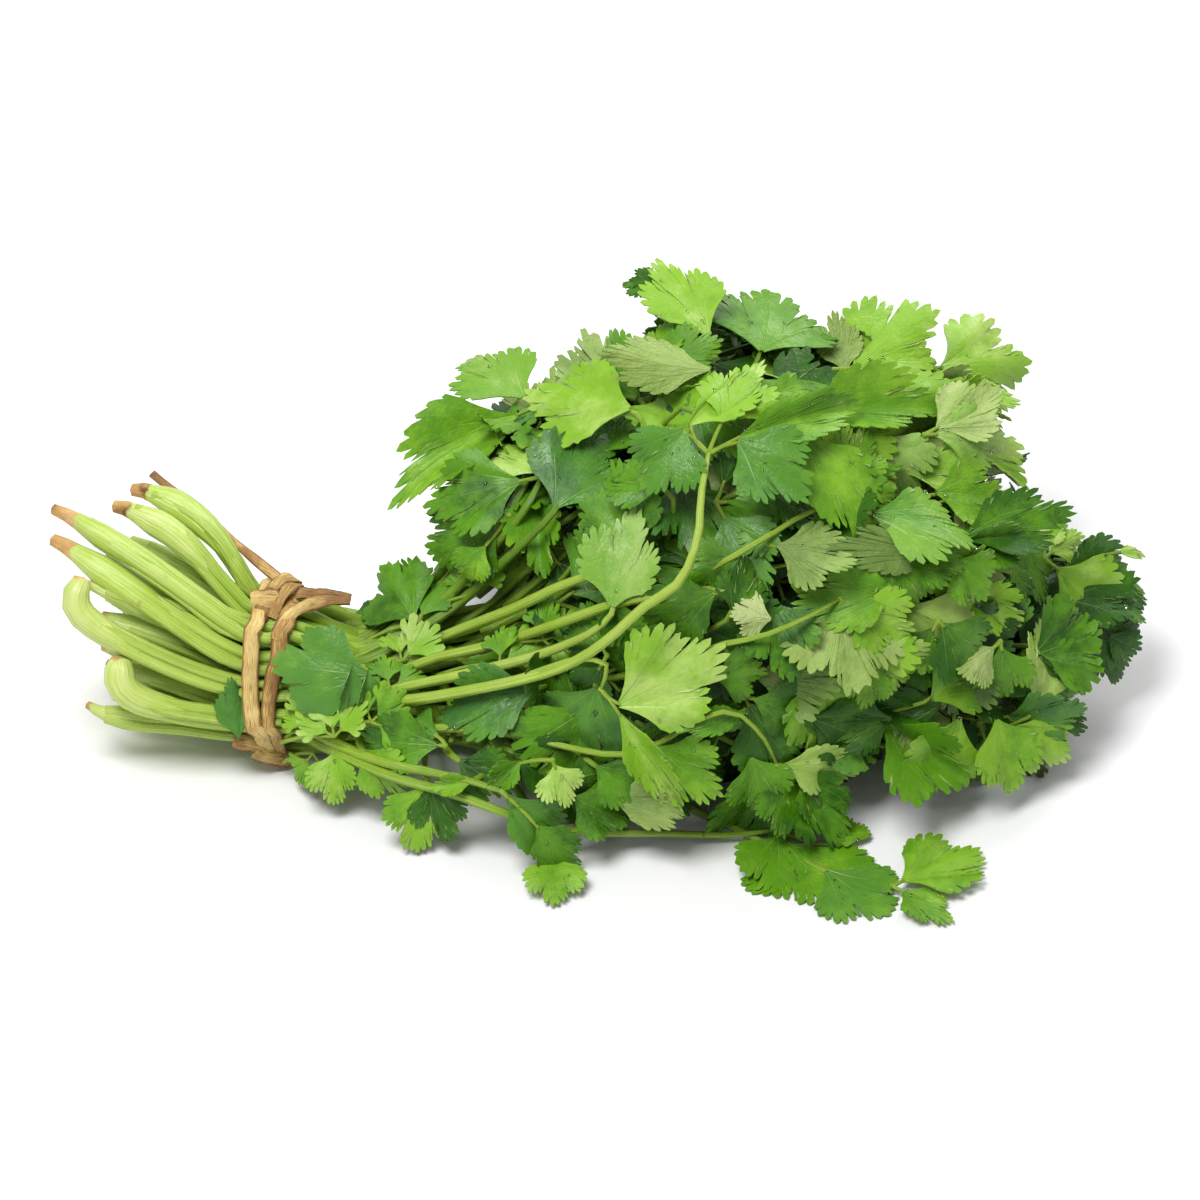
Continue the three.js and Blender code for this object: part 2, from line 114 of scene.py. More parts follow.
# Leaves listed one by one over the part of the head that shows most. Each is the place of its fork as
# x, rise and lift, and its leaflets. Rise is how high a place shows from the front, lift is how far
# it stands off the head. A leaflet is: direction and length of its stalklet, heading, length,
# width for its length, tone from dark 0 to yellow-green 1, and its form: u shows the underside,
# v is folded, c curled, q lies flat, d is deeply cut, s has shallow cuts, w is wet and b wetter. The
# young leaves by the tie have one more form: f is feathery.
# The palest wet leaves take tones that are partly their own yellow-green and partly a painted sheen.
HAND_LEAVES = [
    (70, 84, 3, [(136, 3, 137, 24, 0.85, 0.70, "w"), (208, 4, 208, 40, 0.74, 0.56, "v")]),
    (73, 66, 2, [(135, 1, 135, 16, 0.9, 0.8, ""), (192, 5, 192, 29, 0.72, 0.4, "")]),
    (76, 55, 3, [(62, 2, 62, 28, 0.85, 0.34, "w")]),
    (104, 81, 7, [(168, 2, 168, 32, 0.58, 0.74, "q")]),
    (102, 86, 2, [(143, 2, 143, 25, 0.68, 0.52, "")]),
    (119, 93, 3, [(173, 1, 173, 33, 0.42, 0.58, "u")]),
    (64, 57, 0, [(206, 2, 206, 26, 0.8, 0.35, "q"), (232, 10, 232, 13, 0.8, 0.6, "")]),
    (47, 31.5, -2, [(166, 2, 166, 21, 0.8, 0.42, "w")]),
    (55, 31, -12, [(88, 2, 88, 18, 0.7, 0.7, "")]),
    (61, 40, -12, [(32, 1, 32, 20, 0.9, 0.55, "")]),
    (81, 41, -3, [(45, 1, 45, 17, 0.9, 0.33, "")]),
    (93, 30, 5, [(78, 2, 78, 28, 0.66, 0.78, "w")]),
    (97, 44, 1, [(100, 2, 100, 26, 0.8, 0.4, "")]),
    (115, 68, 9, [
        (130, 9, 42, 32, 0.55, 0.70, "v"), (130, 9, 235, 20, 0.9, 0.42, "w"),
        (68, 8, 62, 24, 0.8, 0.66, ""), (30, 8, 20, 40, 0.42, 0.5, "v"),
        (30, 8, -38, 25, 0.85, 0.42, "w"),
    ]),
    (118, 99, 4, [(121, 2, 121, 29, 0.62, 0.68, ""), (125, 22, 172, 13, 0.8, 0.3, "")]),
    (130, 97, 2, [(78, 2, 78, 23, 1.15, 0.40, "d")]),
    (138, 57, 1, [(182, 2, 182, 17, 1.1, 0.38, "")]),
    (135, 73, 12, [(-52, 1, -52, 38, 0.50, 0.56, "q")]),
    (137, 79.5, 6, [
        (4, 1, 4, 41, 0.45, 0.55, "v"),
        (-35, 8, -35, 26, 0.8, 0.7, ""),
    ]),
    (154, 92, 3, [
        (110, 1, 102, 15, 0.6, 0.5, "u"), (44, 2, 39, 30, 0.72, 0.68, "q"),
        (-10, 8, -35, 26, 0.7, 0.72, ""),
    ]),
    (176, 94.5, 4, [(5, 2, 5, 29, 0.66, 0.76, "q"), (-24, 3, -24, 23, 0.85, 0.74, "q")]),
    (172, 75, 5, [(2, 2, 2, 25, 0.6, 0.82, "w"), (30, 3, 30, 21, 0.7, 0.75, "u")]),
    (161, 77, 3, [(-50, 1, -50, 19, 0.8, 0.85, "w")]),
    (174, 62, 2, [(2, 1, 2, 23, 0.65, 0.55, "")]),
    (157, 56, 4, [(-12, 1, -12, 29, 0.7, 0.62, "w")]),
    (179, 49, 2, [(18, 2, 18, 37, 0.42, 0.28, ""), (-2, 2, -2, 23, 0.6, 0.3, "v")]),
    (204, 43, 5, [
        (86, 1, 86, 13, 0.7, 0.85, ""), (32, 2, 32, 12, 0.8, 0.75, ""),
        (-38, 4, -38, 25, 0.9, 0.68, ""),
    ]),
    (210, 44, 2, [(-5, 1, -5, 25, 0.55, 0.4, "w"), (8, 17, 8, 11, 0.3, 0.85, "")]),
    (218, 36, 2, [(3, 2, 3, 17, 1.0, 0.35, "")]),
    (221, 28, 2, [
        (-12, 1, -12, 14, 0.95, 0.22, ""), (-58, 2, -58, 15, 0.9, 0.2, "d"),
        (60, 2, 60, 12, 0.9, 0.25, ""),
    ]),
    (222, 40, 2, [(2, 1, 2, 15, 0.95, 0.30, "d")]),
    (220, 18, 2, [(8, 1, 8, 13, 0.9, 0.2, "")]),
    (179, 46, 4, [(-48, 1, -48, 15, 1.0, 0.5, ""), (176, 1, 176, 34, 0.32, 0.3, "u")]),
    (167, 38, 6, [(188, 1, 188, 30, 0.5, 0.52, "")]),
    (150, 35, 3, [(-82, 1, -82, 24, 1.2, 0.6, "u"), (-30, 3, -30, 19, 0.9, 0.65, "")]),
    (172, 8, 4, [(42, 1, 42, 22, 0.9, 0.55, "d")]),
    (161, 10, 1, [(18, 1, 18, 16, 0.7, 0.2, "")]),
    (201, 4, 5, [(75, 1, 75, 27, 0.62, 0.88, "")]),
    (208, 34, 1, [
        (-12, 2, -12, 22, 0.9, 0.10, ""), (-58, 3, -58, 18, 0.9, 0.14, ""),
        (15, 3, 15, 22, 0.8, 0.2, ""),
    ]),
    (180, 8, 1, [(-2, 1, -2, 21, 0.5, 0.12, "v"), (196, 1, 196, 26, 0.5, 0.2, "")]),
    (176, -1, 2, [(-95, 1, -95, 17, 0.85, 0.5, "d")]),
    (183, 5, 2, [(-112, 1, -112, 26, 0.85, 0.60, "")]),
    (191, 5, 3, [(-74, 1, -74, 21, 0.85, 0.62, "")]),
    (196, 2, 2, [(-32, 1, -32, 19, 0.8, 0.74, "")]),
    (166, 4, 1, [(198, 1, 198, 18, 0.65, 0.25, "")]),
    (92, 13, 8, [(-50, 6, 26, 32, 0.8, 0.76, ""), (-52, 7, -60, 33, 0.45, 0.7, "v")]),
    (104, -2, 4, [(-42, 1, -42, 22, 0.8, 0.58, "d")]),
    (89, -17, 2, [(-4, 1, -4, 24, 0.55, 0.5, "u")]),
    (127, 6, 2, [(192, 1, 192, 22, 0.3, 0.4, "")]),
    (120, 38, 3, [(206, 2, 206, 21, 0.8, 0.33, "")]),
    (125, 46, 2, [(202, 1, 202, 16, 0.9, 0.35, "")]),
    (133, 30, 3, [(172, 1, 172, 12, 0.9, 0.95, "u")]),
    (117, 14, 0, [(8, 1, 8, 14, 1.0, 0.4, "")]),
    (132, 49, 2, [(-18, 1, -18, 22, 0.7, 0.45, "u")]),
    (74, 11, 3, [(196, 1, 196, 30, 0.6, 0.33, "w")]),
    (88, 13, 1, [(-108, 1, -108, 21, 1.15, 0.35, "w")]),
    (90, 20, 0, [(122, 1, 122, 15, 1.0, 0.33, ""), (-120, 3, -120, 12, 0.9, 0.25, "")]),
    (132, -8, 4, [(-32, 1, -32, 25, 0.7, 0.5, "c"), (-6, 1, -6, 22, 0.5, 0.85, "")]),
    (127, 9, 0, [(-18, 1, -18, 20, 0.7, 0.28, "")]),
    (142, 4, 0, [(-20, 1, -20, 23, 0.7, 0.25, "")]),
    (135, -29, 3, [
        (-80, 1, -88, 18, 0.95, 0.45, ""), (-45, 4, -58, 25, 0.9, 0.5, "d"),
        (-40, 16, -38, 24, 0.8, 0.5, "w"), (-14, 19, 92, 12, 0.8, 0.5, ""),
    ]),
    (165, -43, 3, [(24, 2, 24, 25, 0.7, 0.62, "qd"), (-30, 2, -30, 16, 0.6, 0.5, "d")]),
    (63, -14, 6, [(-46, 1, -46, 27, 0.5, 0.42, "w"), (-44, 12, -52, 21, 0.5, 0.38, "d")]),
    (76, -36, 5, [(-88, 1, -88, 13, 0.85, 0.60, "")]),
    (76, -7, 3, [(-70, 1, -70, 12, 0.9, 0.85, ""), (180, 8, 220, 12, 0.7, 0.45, "v")]),
    (43, -12, 2, [(-100, 1, -100, 20, 0.8, 0.6, "qd"), (-70, 1, -70, 17, 0.8, 0.22, "")]),
    (57, -12, 4, [(188, 1, 188, 12, 0.6, 0.6, "v")]),
    (80, -16, 2, [(-28, 1, -28, 18, 0.8, 0.4, "")]),
    (19, -4, 2, [(-90, 1, -90, 15, 0.8, 0.72, "d")]),
    (26, -4, 3, [(-52, 1, -52, 17, 0.9, 0.6, "")]),
    (48, -4, 2, [(176, 1, 176, 24, 0.6, 0.38, ""), (120, 3, 165, 14, 0.8, 0.45, "w")]),
    (35, 17, 0, [(42, 1, 42, 14, 0.9, 0.78, "")]),
    (48, 21, -3, [(-6, 1, -6, 20, 0.6, 0.5, "")]),
    (62, 21, -6, [(14, 1, 14, 19, 0.7, 0.6, "d")]),
    # Low leaves under the head: their dark tones are partly their own deep green and partly painted shade.
    (50, -7, 1, [(-30, 1, -30, 17, 0.8, 0.28, "d")]),
    (64, -5, 0, [(-20, 1, -20, 18, 0.8, 0.2, "")]),
    (76, -12, 0, [(-10, 1, -10, 18, 0.75, 0.3, "d")]),
    (86, -8, 1, [(-35, 1, -35, 16, 0.8, 0.35, "")]),
    (100, -12, 0, [(-15, 1, -15, 18, 0.8, 0.18, "d")]),
    (134, -10, 2, [(-84, 1, -84, 17, 0.7, 0.38, "d")]),
    (141, -10, 1, [(-74, 1, -74, 15, 0.8, 0.3, "")]),
    (126, -5, 2, [(-72, 1, -72, 18, 0.85, 0.45, "d")]),
    (204, 22, 2, [(-4, 1, -4, 17, 0.9, 0.3, "d")]),
    (130, 64, 1, [(-10, 1, -10, 19, 0.85, 0.3, "d")]),
    (122, 30, 2, [(70, 1, 70, 16, 0.8, 0.3, "d")]),
    (148, 74, 3, [(200, 1, 200, 18, 0.8, 0.4, "d"), (150, 2, 150, 15, 0.8, 0.5, "")]),
    (186, 62, 3, [(-42, 1, -42, 18, 0.75, 0.75, "d"), (-75, 2, -75, 17, 0.8, 0.6, "")]),
    (177, 80, 3, [(8, 1, 8, 17, 0.85, 0.76, "d"), (-50, 2, -50, 17, 0.7, 0.66, "d")]),
    (158, 22, 3, [(-30, 1, -30, 18, 0.85, 0.72, "d"), (-95, 2, -95, 14, 0.8, 0.5, "")]),
    (192, 24, 3, [(-80, 1, -80, 18, 0.8, 0.45, "d"), (-140, 2, -140, 15, 0.8, 0.7, "u")]),
    (106, 94, 3, [(85, 1, 85, 16, 0.7, 0.6, "d"), (30, 2, 30, 16, 0.8, 0.5, "d")]),
    (88, 82, 3, [(150, 1, 148, 19, 0.75, 0.5, "d")]),
    (108, 62, 2, [(150, 1, 150, 20, 0.8, 0.38, "d")]),
    (88, 70, 2, [(150, 1, 150, 20, 0.85, 0.3, "wd"), (60, 2, 60, 16, 0.8, 0.45, "d")]),
    (139, 68, 3, [(-60, 1, -60, 21, 0.8, 0.4, "w"), (-130, 2, -130, 17, 0.8, 0.35, "d")]),
    (150, 62, 3, [(-25, 1, -25, 19, 0.8, 0.5, "d"), (60, 2, 60, 17, 0.8, 0.55, "")]),
    (164, 47, 3, [(-70, 1, -70, 19, 0.85, 0.45, "d"), (-10, 2, -10, 18, 0.8, 0.35, "")]),
    (196, 50, 3, [(-60, 1, -60, 19, 0.8, 0.4, "d"), (-110, 2, -110, 17, 0.8, 0.3, "")]),
    (176, 30, 3, [(-50, 1, -50, 19, 0.85, 0.3, "d"), (-120, 2, -120, 18, 0.8, 0.42, "")]),
    (112, 84, 3, [(-40, 1, -40, 18, 0.8, 0.35, "d")]),
    (128, 86, 3, [(-10, 1, -10, 19, 0.85, 0.55, "d")]),
    (181, 92, 2, [(-35, 1, -35, 15, 0.8, 0.75, "d")]),
    (93, 58, 2, [(-70, 1, -70, 17, 0.85, 0.28, "d")]),
]

# Stalks that show along their length: the fork each runs to, its places as x, rise and lift, its
# radius where it is free, and its tone
SHOWN_STALKS = {
    (115, 68): ([(20, 7.5, 3), (35, 8, 4), (50, 10.5, 6), (63, 13.5, 8), (75, 17, 9), (86, 22.5, 10),
                 (97, 31, 11), (105, 41, 11), (111, 52, 11), (115, 63, 10)], 1.3, 0.74),
    (92, 13): ([(24, 6, 1), (40, 8, 3), (55, 11, 5), (68, 15, 7), (80, 19.5, 9), (86, 19.5, 9),
                (90, 17, 9)], 0.9, 0.62),
    (93, 30): ([(24, 8, 1), (36, 11.5, 3), (50, 14.5, 4), (62, 17.5, 5), (74, 21, 5), (85, 26, 5)],
               1.3, 0.7),
    (97, 44): ([(26, 15, 0), (40, 22, 0), (52, 27, 1), (66, 32.5, 2), (80, 39, 2)], 1.35, 0.6),
    (120, 38): ([(26, 13, 0), (42, 18.5, 1), (55, 21.5, 2), (66, 24.5, 2), (78, 28.5, 3), (92, 33.5, 2),
                 (106, 36, 1)], 1.3, 0.58),
    (47, 31.5): ([(20, 25, -1), (32, 26, -3), (42, 29, -4)], 1.1, 0.5),
    (70, 84): ([(24, 22, 0), (36, 29, 0), (46, 38, -2), (55, 47, -3), (63, 56, -2), (69, 68, -1),
                (72, 78, 0)], 1.2, 0.3),
    (73, 66): ([(24, 20, 0), (38, 28, 0), (50, 38, -2), (60, 49, -2), (68, 58, -1)], 1.25, 0.28),
    (76, 55): ([(25, 18, 0), (40, 26.5, 0), (52, 35, -2), (63, 45, -2)], 1.25, 0.36),
    (64, 57): ([(24, 24, 0), (34, 31, -1), (44, 41, -3), (54, 51, -3)], 1.15, 0.18),
    (135, -29): ([(16, -5, 1), (33, -12, 2), (48, -16, 3), (62, -21, 3), (80, -26.5, 3), (105, -27.5, 3),
                  (122, -28, 3)], 1.1, 0.5),
    (63, -14): ([(16, -3, 1), (30, -8, 2), (44, -11, 3), (54, -13, 4)], 1.0, 0.45),
    (157, 56): ([(40, 17, -2), (70, 26, -4), (100, 34, -3), (123, 46, 2), (135, 53, 3),
                 (147, 59, 4)], 0.9, 0.6),
    (150, 35): ([(40, 9, -2), (80, 13, -6), (108, 18, -3), (122, 24, 3), (132, 25.5, 6),
                 (142, 30, 7)], 0.9, 0.6),
    (132, -8): ([(30, 1, 0), (60, 0, -1), (90, -6, 0), (104, -3, 3), (112, 2.5, 4), (119, 6, 5),
                 (126, 4, 5), (130.5, -1, 5)], 0.8, 0.6),
    (176, 94.5): ([(33, 28.5, -3), (52, 39, -9), (100, 70, -8), (132, 91, -2), (145, 96, 3),
                   (155, 97, 4), (166, 98.5, 4)], 0.85, 0.66),
}


# ---------------------------------------------------------------- small helpers


def unit(vector):
    """The vector at length one."""
    return vector / max(np.linalg.norm(vector), 1e-9)


def select_only(*pieces):
    """Selects the pieces and nothing else, with the first one active."""
    bpy.ops.object.select_all(action="DESELECT")
    for piece in pieces:
        piece.select_set(True)
    bpy.context.view_layer.objects.active = pieces[0]


def add_sheet(name, columns, rows, labels):
    """A flat grid of cells from which a leaflet, a stalk or a strap is shaped."""
    bpy.ops.object.select_all(action="DESELECT")
    bpy.ops.mesh.primitive_grid_add(x_subdivisions=columns, y_subdivisions=rows, size=1)
    sheet = bpy.context.object
    sheet.name = name
    for label in labels:
        sheet.data.attributes.new(label, "FLOAT", "POINT")
    return sheet


def copy_pattern(pattern):
    """A copy of a pattern with its own mesh."""
    piece = pattern.copy()
    piece.data = pattern.data.copy()
    bpy.context.scene.collection.objects.link(piece)
    return piece


def join_pieces(parts, name):
    """Joins the parts into one piece with its own mesh and welds the closed ends."""
    select_only(*parts)
    if len(parts) > 1:
        bpy.ops.object.join()
    piece = bpy.context.object
    piece.name = name
    piece.data.name = name
    bpy.ops.object.mode_set(mode="EDIT")
    bpy.ops.mesh.select_all(action="SELECT")
    bpy.ops.mesh.remove_doubles(threshold=WELD_GAP)
    bpy.ops.object.mode_set(mode="OBJECT")
    return piece


def read_places(mesh):
    """The mesh's vertices as rows of x, y and z."""
    places = np.empty(len(mesh.vertices) * 3)
    mesh.vertices.foreach_get("co", places)
    return places.reshape(-1, 3)


def write_places(mesh, placed):
    """Puts the vertices at places given in millimetres from the tie."""
    mesh.vertices.foreach_set("co", ((placed + ORIGIN) * MM).ravel())


def write_uvs(mesh, flat):
    """Gives every face corner the map place of its vertex."""
    corner = np.empty(len(mesh.loops), int)
    mesh.loops.foreach_get("vertex_index", corner)
    mesh.uv_layers[0].data.foreach_set("uv", flat[corner].ravel())


def cells_of(shares, cells):
    """Which line of a sheet each place lies on, from its share across the sheet."""
    return np.rint((shares + 0.5) * cells).astype(int)


# ---------------------------------------------------------------- the head's surface


def section_at(rows, x):
    """Near edge, far edge and height of the head's cross-section at a place along the bunch."""
    table = np.array(rows, float)
    return [np.interp(x, table[:, 0], table[:, k]) for k in (1, 2, 3)]


def head_top(x, y):
    """Height of the leaf head above the floor at a place in plan."""
    highest = np.zeros_like(y, dtype=float)
    for rows in (SKIRT, MASS):
        if not rows[0][0] <= x <= rows[-1][0]:
            continue
        near, far, height = section_at(rows, x)
        away = np.clip(np.abs(y - (near + far) / 2) / ((far - near) / 2), 0, 1)
        highest = np.maximum(highest, height * (1 - away**HEAD_POWER) ** (1 / HEAD_POWER))
    return highest


def head_normal(x, y):
    """Outward direction of the head's surface."""
    step = 4.0
    beside = [head_top(x + s, np.array([y]))[0] for s in (-step, step)]
    across = [head_top(x, np.array([y + s]))[0] for s in (-step, step)]
    slope = np.array([(beside[0] - beside[1]) / (2 * step), (across[0] - across[1]) / (2 * step), 1.0])
    slope[:2] = np.clip(slope[:2], -2.5, 2.5)
    return slope / np.linalg.norm(slope)


def on_head(x, rise, lift=0.0):
    """The nearest place on the head that shows at this x and rise, and its outward direction."""
    ys = np.linspace(-110, 112, 445)
    tops = head_top(x, ys)
    sight = (rise - UP_VIEW[1] * ys) / UP_VIEW[2]
    hits = np.nonzero(sight <= np.maximum(tops, 0.0))[0]
    if len(hits) and sight[hits[0]] > -1.0 and (tops[hits[0]] > 0.5 or rise < 0):
        # the line of sight meets the head or the floor, where leaves lie flat
        first = hits[0]
        y = ys[first]
        place = np.array([x, y, max(sight[first], 0.0)])
        normal = head_normal(x, y) if tops[first] > 3 else np.array([0.0, 0.0, 1.0])
        steep = float(np.clip((place[2] - 2) / 12, 0, 1))
        normal = unit(normal * steep + np.array([0.0, 0.0, 1.0 - steep]))
    else:
        # it passes over the head, so the place stands off behind the head's outline
        shown = UP_VIEW[1] * ys + UP_VIEW[2] * tops
        best = int(np.argmax(np.where(tops > 0, shown, -1e9))) if tops.max() > 0 else 0
        y = ys[best]
        back = np.array([0.0, 0.85, 0.53])
        place = np.array([x, y, tops[best]]) + back * (rise - shown[best]) / float(np.dot(back, UP_VIEW))
        normal = head_normal(x, y)
    return place + normal * lift, normal


def shown_at(x, rise, lift):
    """The place that stands off the head by the lift and still shows at this x and rise."""
    place = on_head(x, rise, lift)[0]
    return on_head(2 * x - place[0], 2 * rise - float(np.dot(place, UP_VIEW)), lift)[0]


# ---------------------------------------------------------------- leaflets


# How far in the cuts reach between lobes, groups of teeth and teeth, and the angle between lobes
LEAFLET_CUTS = {
    "full": (0.56, 0.66, 0.85, 38), "deep": (0.46, 0.56, 0.84, 41), "plain": (0.72, 0.84, 0.90, 36),
    "fern": (0.30, 0.50, 0.60, 40),
}


def leaflet_outline(teeth, per_tooth, draw, kind):
    """Places on a leaflet's edge, for three lobes that each fan out in small groups of rounded teeth."""
    main_cut, group_cut, tooth_cut, fan = LEAFLET_CUTS[kind]
    fan = math.radians(fan * draw.uniform(0.92, 1.08))
    per_lobe = teeth * per_tooth
    places = []
    for lobe in range(3):
        vein = (1 - lobe) * fan
        length = 1.0 if lobe == 1 else draw.uniform(0.82, 0.96)
        heart = span = 0.50 * length
        first = math.radians(draw.uniform(60, 72) if lobe == 0 else draw.uniform(56, 64))
        last = -math.radians(draw.uniform(60, 72) if lobe == 2 else draw.uniform(56, 64))
        split = [0, *(round(third * teeth / 3 + draw.uniform(-0.6, 0.6)) for third in (1, 2)), teeth]
        slip = [draw.uniform(-0.26, 0.26) for _ in range(teeth + 1)]
        bold = [draw.uniform(0.95, 1.06) for _ in range(teeth + 1)]
        for place in range(per_lobe + (1 if lobe == 2 else 0)):
            tooth, phase = divmod(place, per_tooth)
            here = place / per_tooth
            turn = first + (last - first) * here / teeth
            reach = span * (1 - 0.34 * min(abs(turn / 1.08), 1.0) ** 2)
            for low, high in zip(split, split[1:]):
                if low < here < high:
                    reach *= 1 - 0.10 * ((here - low) / (high - low) * 2 - 1) ** 2
            if phase == 0:
                # the bottom of a cut between two teeth, or between two groups of them
                turn += slip[tooth] * (last - first) / teeth
                reach *= (group_cut if tooth in split[1:3] else tooth_cut) * draw.uniform(0.92, 1.07)
            else:
                # the round of a tooth
                off = phase / per_tooth - 0.5
                reach *= (1.055 - 1.4 * off**2) * bold[tooth] + draw.uniform(-0.012, 0.012)
                turn += off * 0.3 * (last - first) / teeth
            along, across = heart + reach * math.cos(turn), reach * math.sin(turn)
            # a lobe stays on its own side of the line between it and the next
            limit = along * math.tan(fan / 2) * 0.95
            across = min(across, limit) if lobe > 0 else across
            across = max(across, -limit) if lobe < 2 else across
            if place == 0 and lobe > 0:
                away = main_cut * draw.uniform(0.88, 1.12)
                between = vein + fan / 2 + draw.uniform(-0.04, 0.04)
                places.append((away * math.cos(between), away * math.sin(between)))
                continue
            if (place == 0 and lobe == 0) or place == per_lobe:
                along, across = along * 0.88, across * 0.92
            places.append((
                along * math.cos(vein) - across * math.sin(vein),
                along * math.sin(vein) + across * math.cos(vein),
            ))
    return np.array(places), fan


def make_leaflet_pattern(name, teeth, rings, draw, kind="full", per_tooth=4):
    """One flat leaflet of unit length: a fan of three lobes with rounded teeth."""
    lobe = teeth * per_tooth
    pattern = add_sheet(name, 3 * lobe, len(rings) - 1, ("tone", "wet"))
    mesh = pattern.data
    places = read_places(mesh)
    column = cells_of(places[:, 0], 3 * lobe)
    ring = cells_of(places[:, 1], len(rings) - 1)

    # the outermost ring follows the teeth, and the inner ones an outline with its teeth smoothed away
    edge, fan = leaflet_outline(teeth, per_tooth, draw, kind)
    blur = 2 * per_tooth + 1
    even = np.stack([
        np.convolve(np.pad(edge[:, k], per_tooth, mode="edge"), np.ones(blur) / blur, "valid")
        for k in (0, 1)
    ], 1) * 0.9
    reach = np.array(rings)[ring]
    keep = (np.clip((reach - 0.3) / 0.7, 0, 1) ** 1.5)[:, None]
    laid = reach[:, None] * (edge[column] * keep + even[column] * (1 - keep))
    # the blade narrows to a wedge at its base
    radius = np.hypot(laid[:, 0], laid[:, 1])
    narrow = 0.72 + 0.28 * reach
    angle = np.arctan2(laid[:, 1], laid[:, 0]) * narrow
    along, across = radius * np.cos(angle), radius * np.sin(angle)
    mesh.vertices.foreach_set("co", np.stack([along, across, np.zeros_like(along)], 1).ravel())

    # the map holds how far each place is from its lobe's vein, and how far out along it
    vein_angle = (1 - np.clip(np.rint(column / lobe - 0.5), 0, 2)) * fan * narrow
    beside = np.abs(radius * np.sin(angle - vein_angle))
    outward = radius * np.cos(angle - vein_angle)
    write_uvs(mesh, np.stack([beside, outward], 1))
    return pattern


def bend_leaflet(along, across, length, width, form, draw):
    """Shapes a flat leaflet: droops its midrib, folds it, cups the lobes and ruffles the edge."""
    across = across * width
    reach = np.hypot(along, across)
    angle = np.arctan2(across, along + 1e-6)
    fold = math.radians(draw.uniform(34, 52) if "v" in form else draw.uniform(2, 22))
    droop = draw.uniform(1.2, 1.7) if "c" in form else draw.uniform(0.15, 0.85)
    if "v" in form:
        droop *= 0.6
    if "q" in form:
        fold, droop = math.radians(3), 0.16
    # ruffled edge, raised lobes and shallow waves, all over a cupped blade
    phase = draw.uniform(0, 6.28)
    edge = np.clip(reach, 0, 1.1)
    height = draw.uniform(0.015, 0.05) * edge**2.4 * np.sin(angle * draw.uniform(4.5, 8.5) + phase)
    height += draw.uniform(-0.02, 0.05) * edge**1.3 * np.cos(angle * 2 * math.pi / 0.58)
    height += 0.03 * np.sin(along * 5.5 + phase) * np.cos(across * 5 + 2 * phase) * edge
    height -= draw.uniform(-0.1, 0.42) * across**2
    height -= draw.uniform(-0.08, 0.16) * edge**4
    twist = draw.uniform(-0.6, 0.6) * along
    across, height = (
        across * np.cos(twist) - height * np.sin(twist),
        across * np.sin(twist) + height * np.cos(twist),
    )
    # the fold along the midrib, and then the droop of the midrib itself
    soft = np.sqrt(across**2 + 0.05**2) - 0.05
    height = height * math.cos(fold) + soft * math.sin(fold)
    across = across * math.cos(fold)
    turn = droop * along
    flat = np.sin(turn) / droop
    drop = (1 - np.cos(turn)) / droop
    return np.stack(
        [flat + height * np.sin(turn), across, height * np.cos(turn) - drop], 1
    ) * length


def settle(placed):
    """Bends places off the floor and keeps them in the bunch's room."""
    low = placed[:, 2] < FLOOR_BEND
    sunk = np.clip(placed[low, 2] - FLOOR_BEND, -30, 0)
    placed[low, 2] = FLOOR_GAP + (FLOOR_BEND - FLOOR_GAP) * np.exp(sunk / 2.6)
    for axis, limit, give in (
        (2, CEILING, ROOM_GIVE["up"]), (1, FAR_LIMIT, ROOM_GIVE["far"]), (0, RIGHT_LIMIT, ROOM_GIVE["right"]),
    ):
        past = placed[:, axis] > limit
        placed[past, axis] = limit + give * np.tanh((placed[past, axis] - limit) / give)
    return placed


def lay_leaflet(pattern, item, draw, size=1.0, slimness=1.0):
    """A copy of the pattern, shaped and put in its place. Returns the new piece."""
    piece = copy_pattern(pattern)
    mesh = piece.data
    flat = read_places(mesh)
    length, form, normal = item["length"] * size, item["form"], item["normal"]
    shaped = bend_leaflet(flat[:, 0], flat[:, 1], length, item["width"] * slimness, form, draw)
    if "u" in form:
        normal = -normal
    heading = unit(item["heading"] - normal * float(np.dot(item["heading"], normal)))
    side = np.cross(normal, heading)
    write_places(mesh, settle(item["base"] + shaped @ np.stack([heading, side, normal])))
    shade = item["tone"] + 0.07 * (flat[:, 0] - 0.55) + 0.05 * np.sin(flat[:, 1] * 5 + length)
    # the wet value lowers the roughness and also mixes in a painted blue-green sheen tint
    wet = 1.0 if "w" in form else 1.4 if "b" in form else 0.0
    mesh.attributes["tone"].data.foreach_set("value", shade)
    mesh.attributes["wet"].data.foreach_set("value", np.full(len(flat), wet))
    return piece


def finish_blades(blades, name, thickness):
    """Joins leaflets into one piece and gives them a thickness, with the underside's own finish."""
    piece = join_pieces(blades, name)
    piece.data.materials.append(materials()["upper"])
    piece.data.materials.append(materials()["under"])
    wall = piece.modifiers.new("blade", "SOLIDIFY")
    wall.thickness = thickness
    wall.offset = -1
    wall.material_offset = 1
    bpy.ops.object.modifier_apply(modifier="blade")
    bpy.ops.object.shade_smooth_by_angle(angle=math.radians(50))
    return piece


# ---------------------------------------------------------------- stalks


# How far the point that closes a stalk's end reaches past it, in parts of its radius
TIP_REACH = 0.35
# Places between two given ones where a smooth line is worked out
LINE_STEPS = 16


def make_tube_pattern(sides, stations):
    """A flat sheet that make_tube rolls into a closed stalk."""
    return add_sheet(f"tube_pattern_{sides}_{stations}", sides, stations + 1, ("tone", "root"))


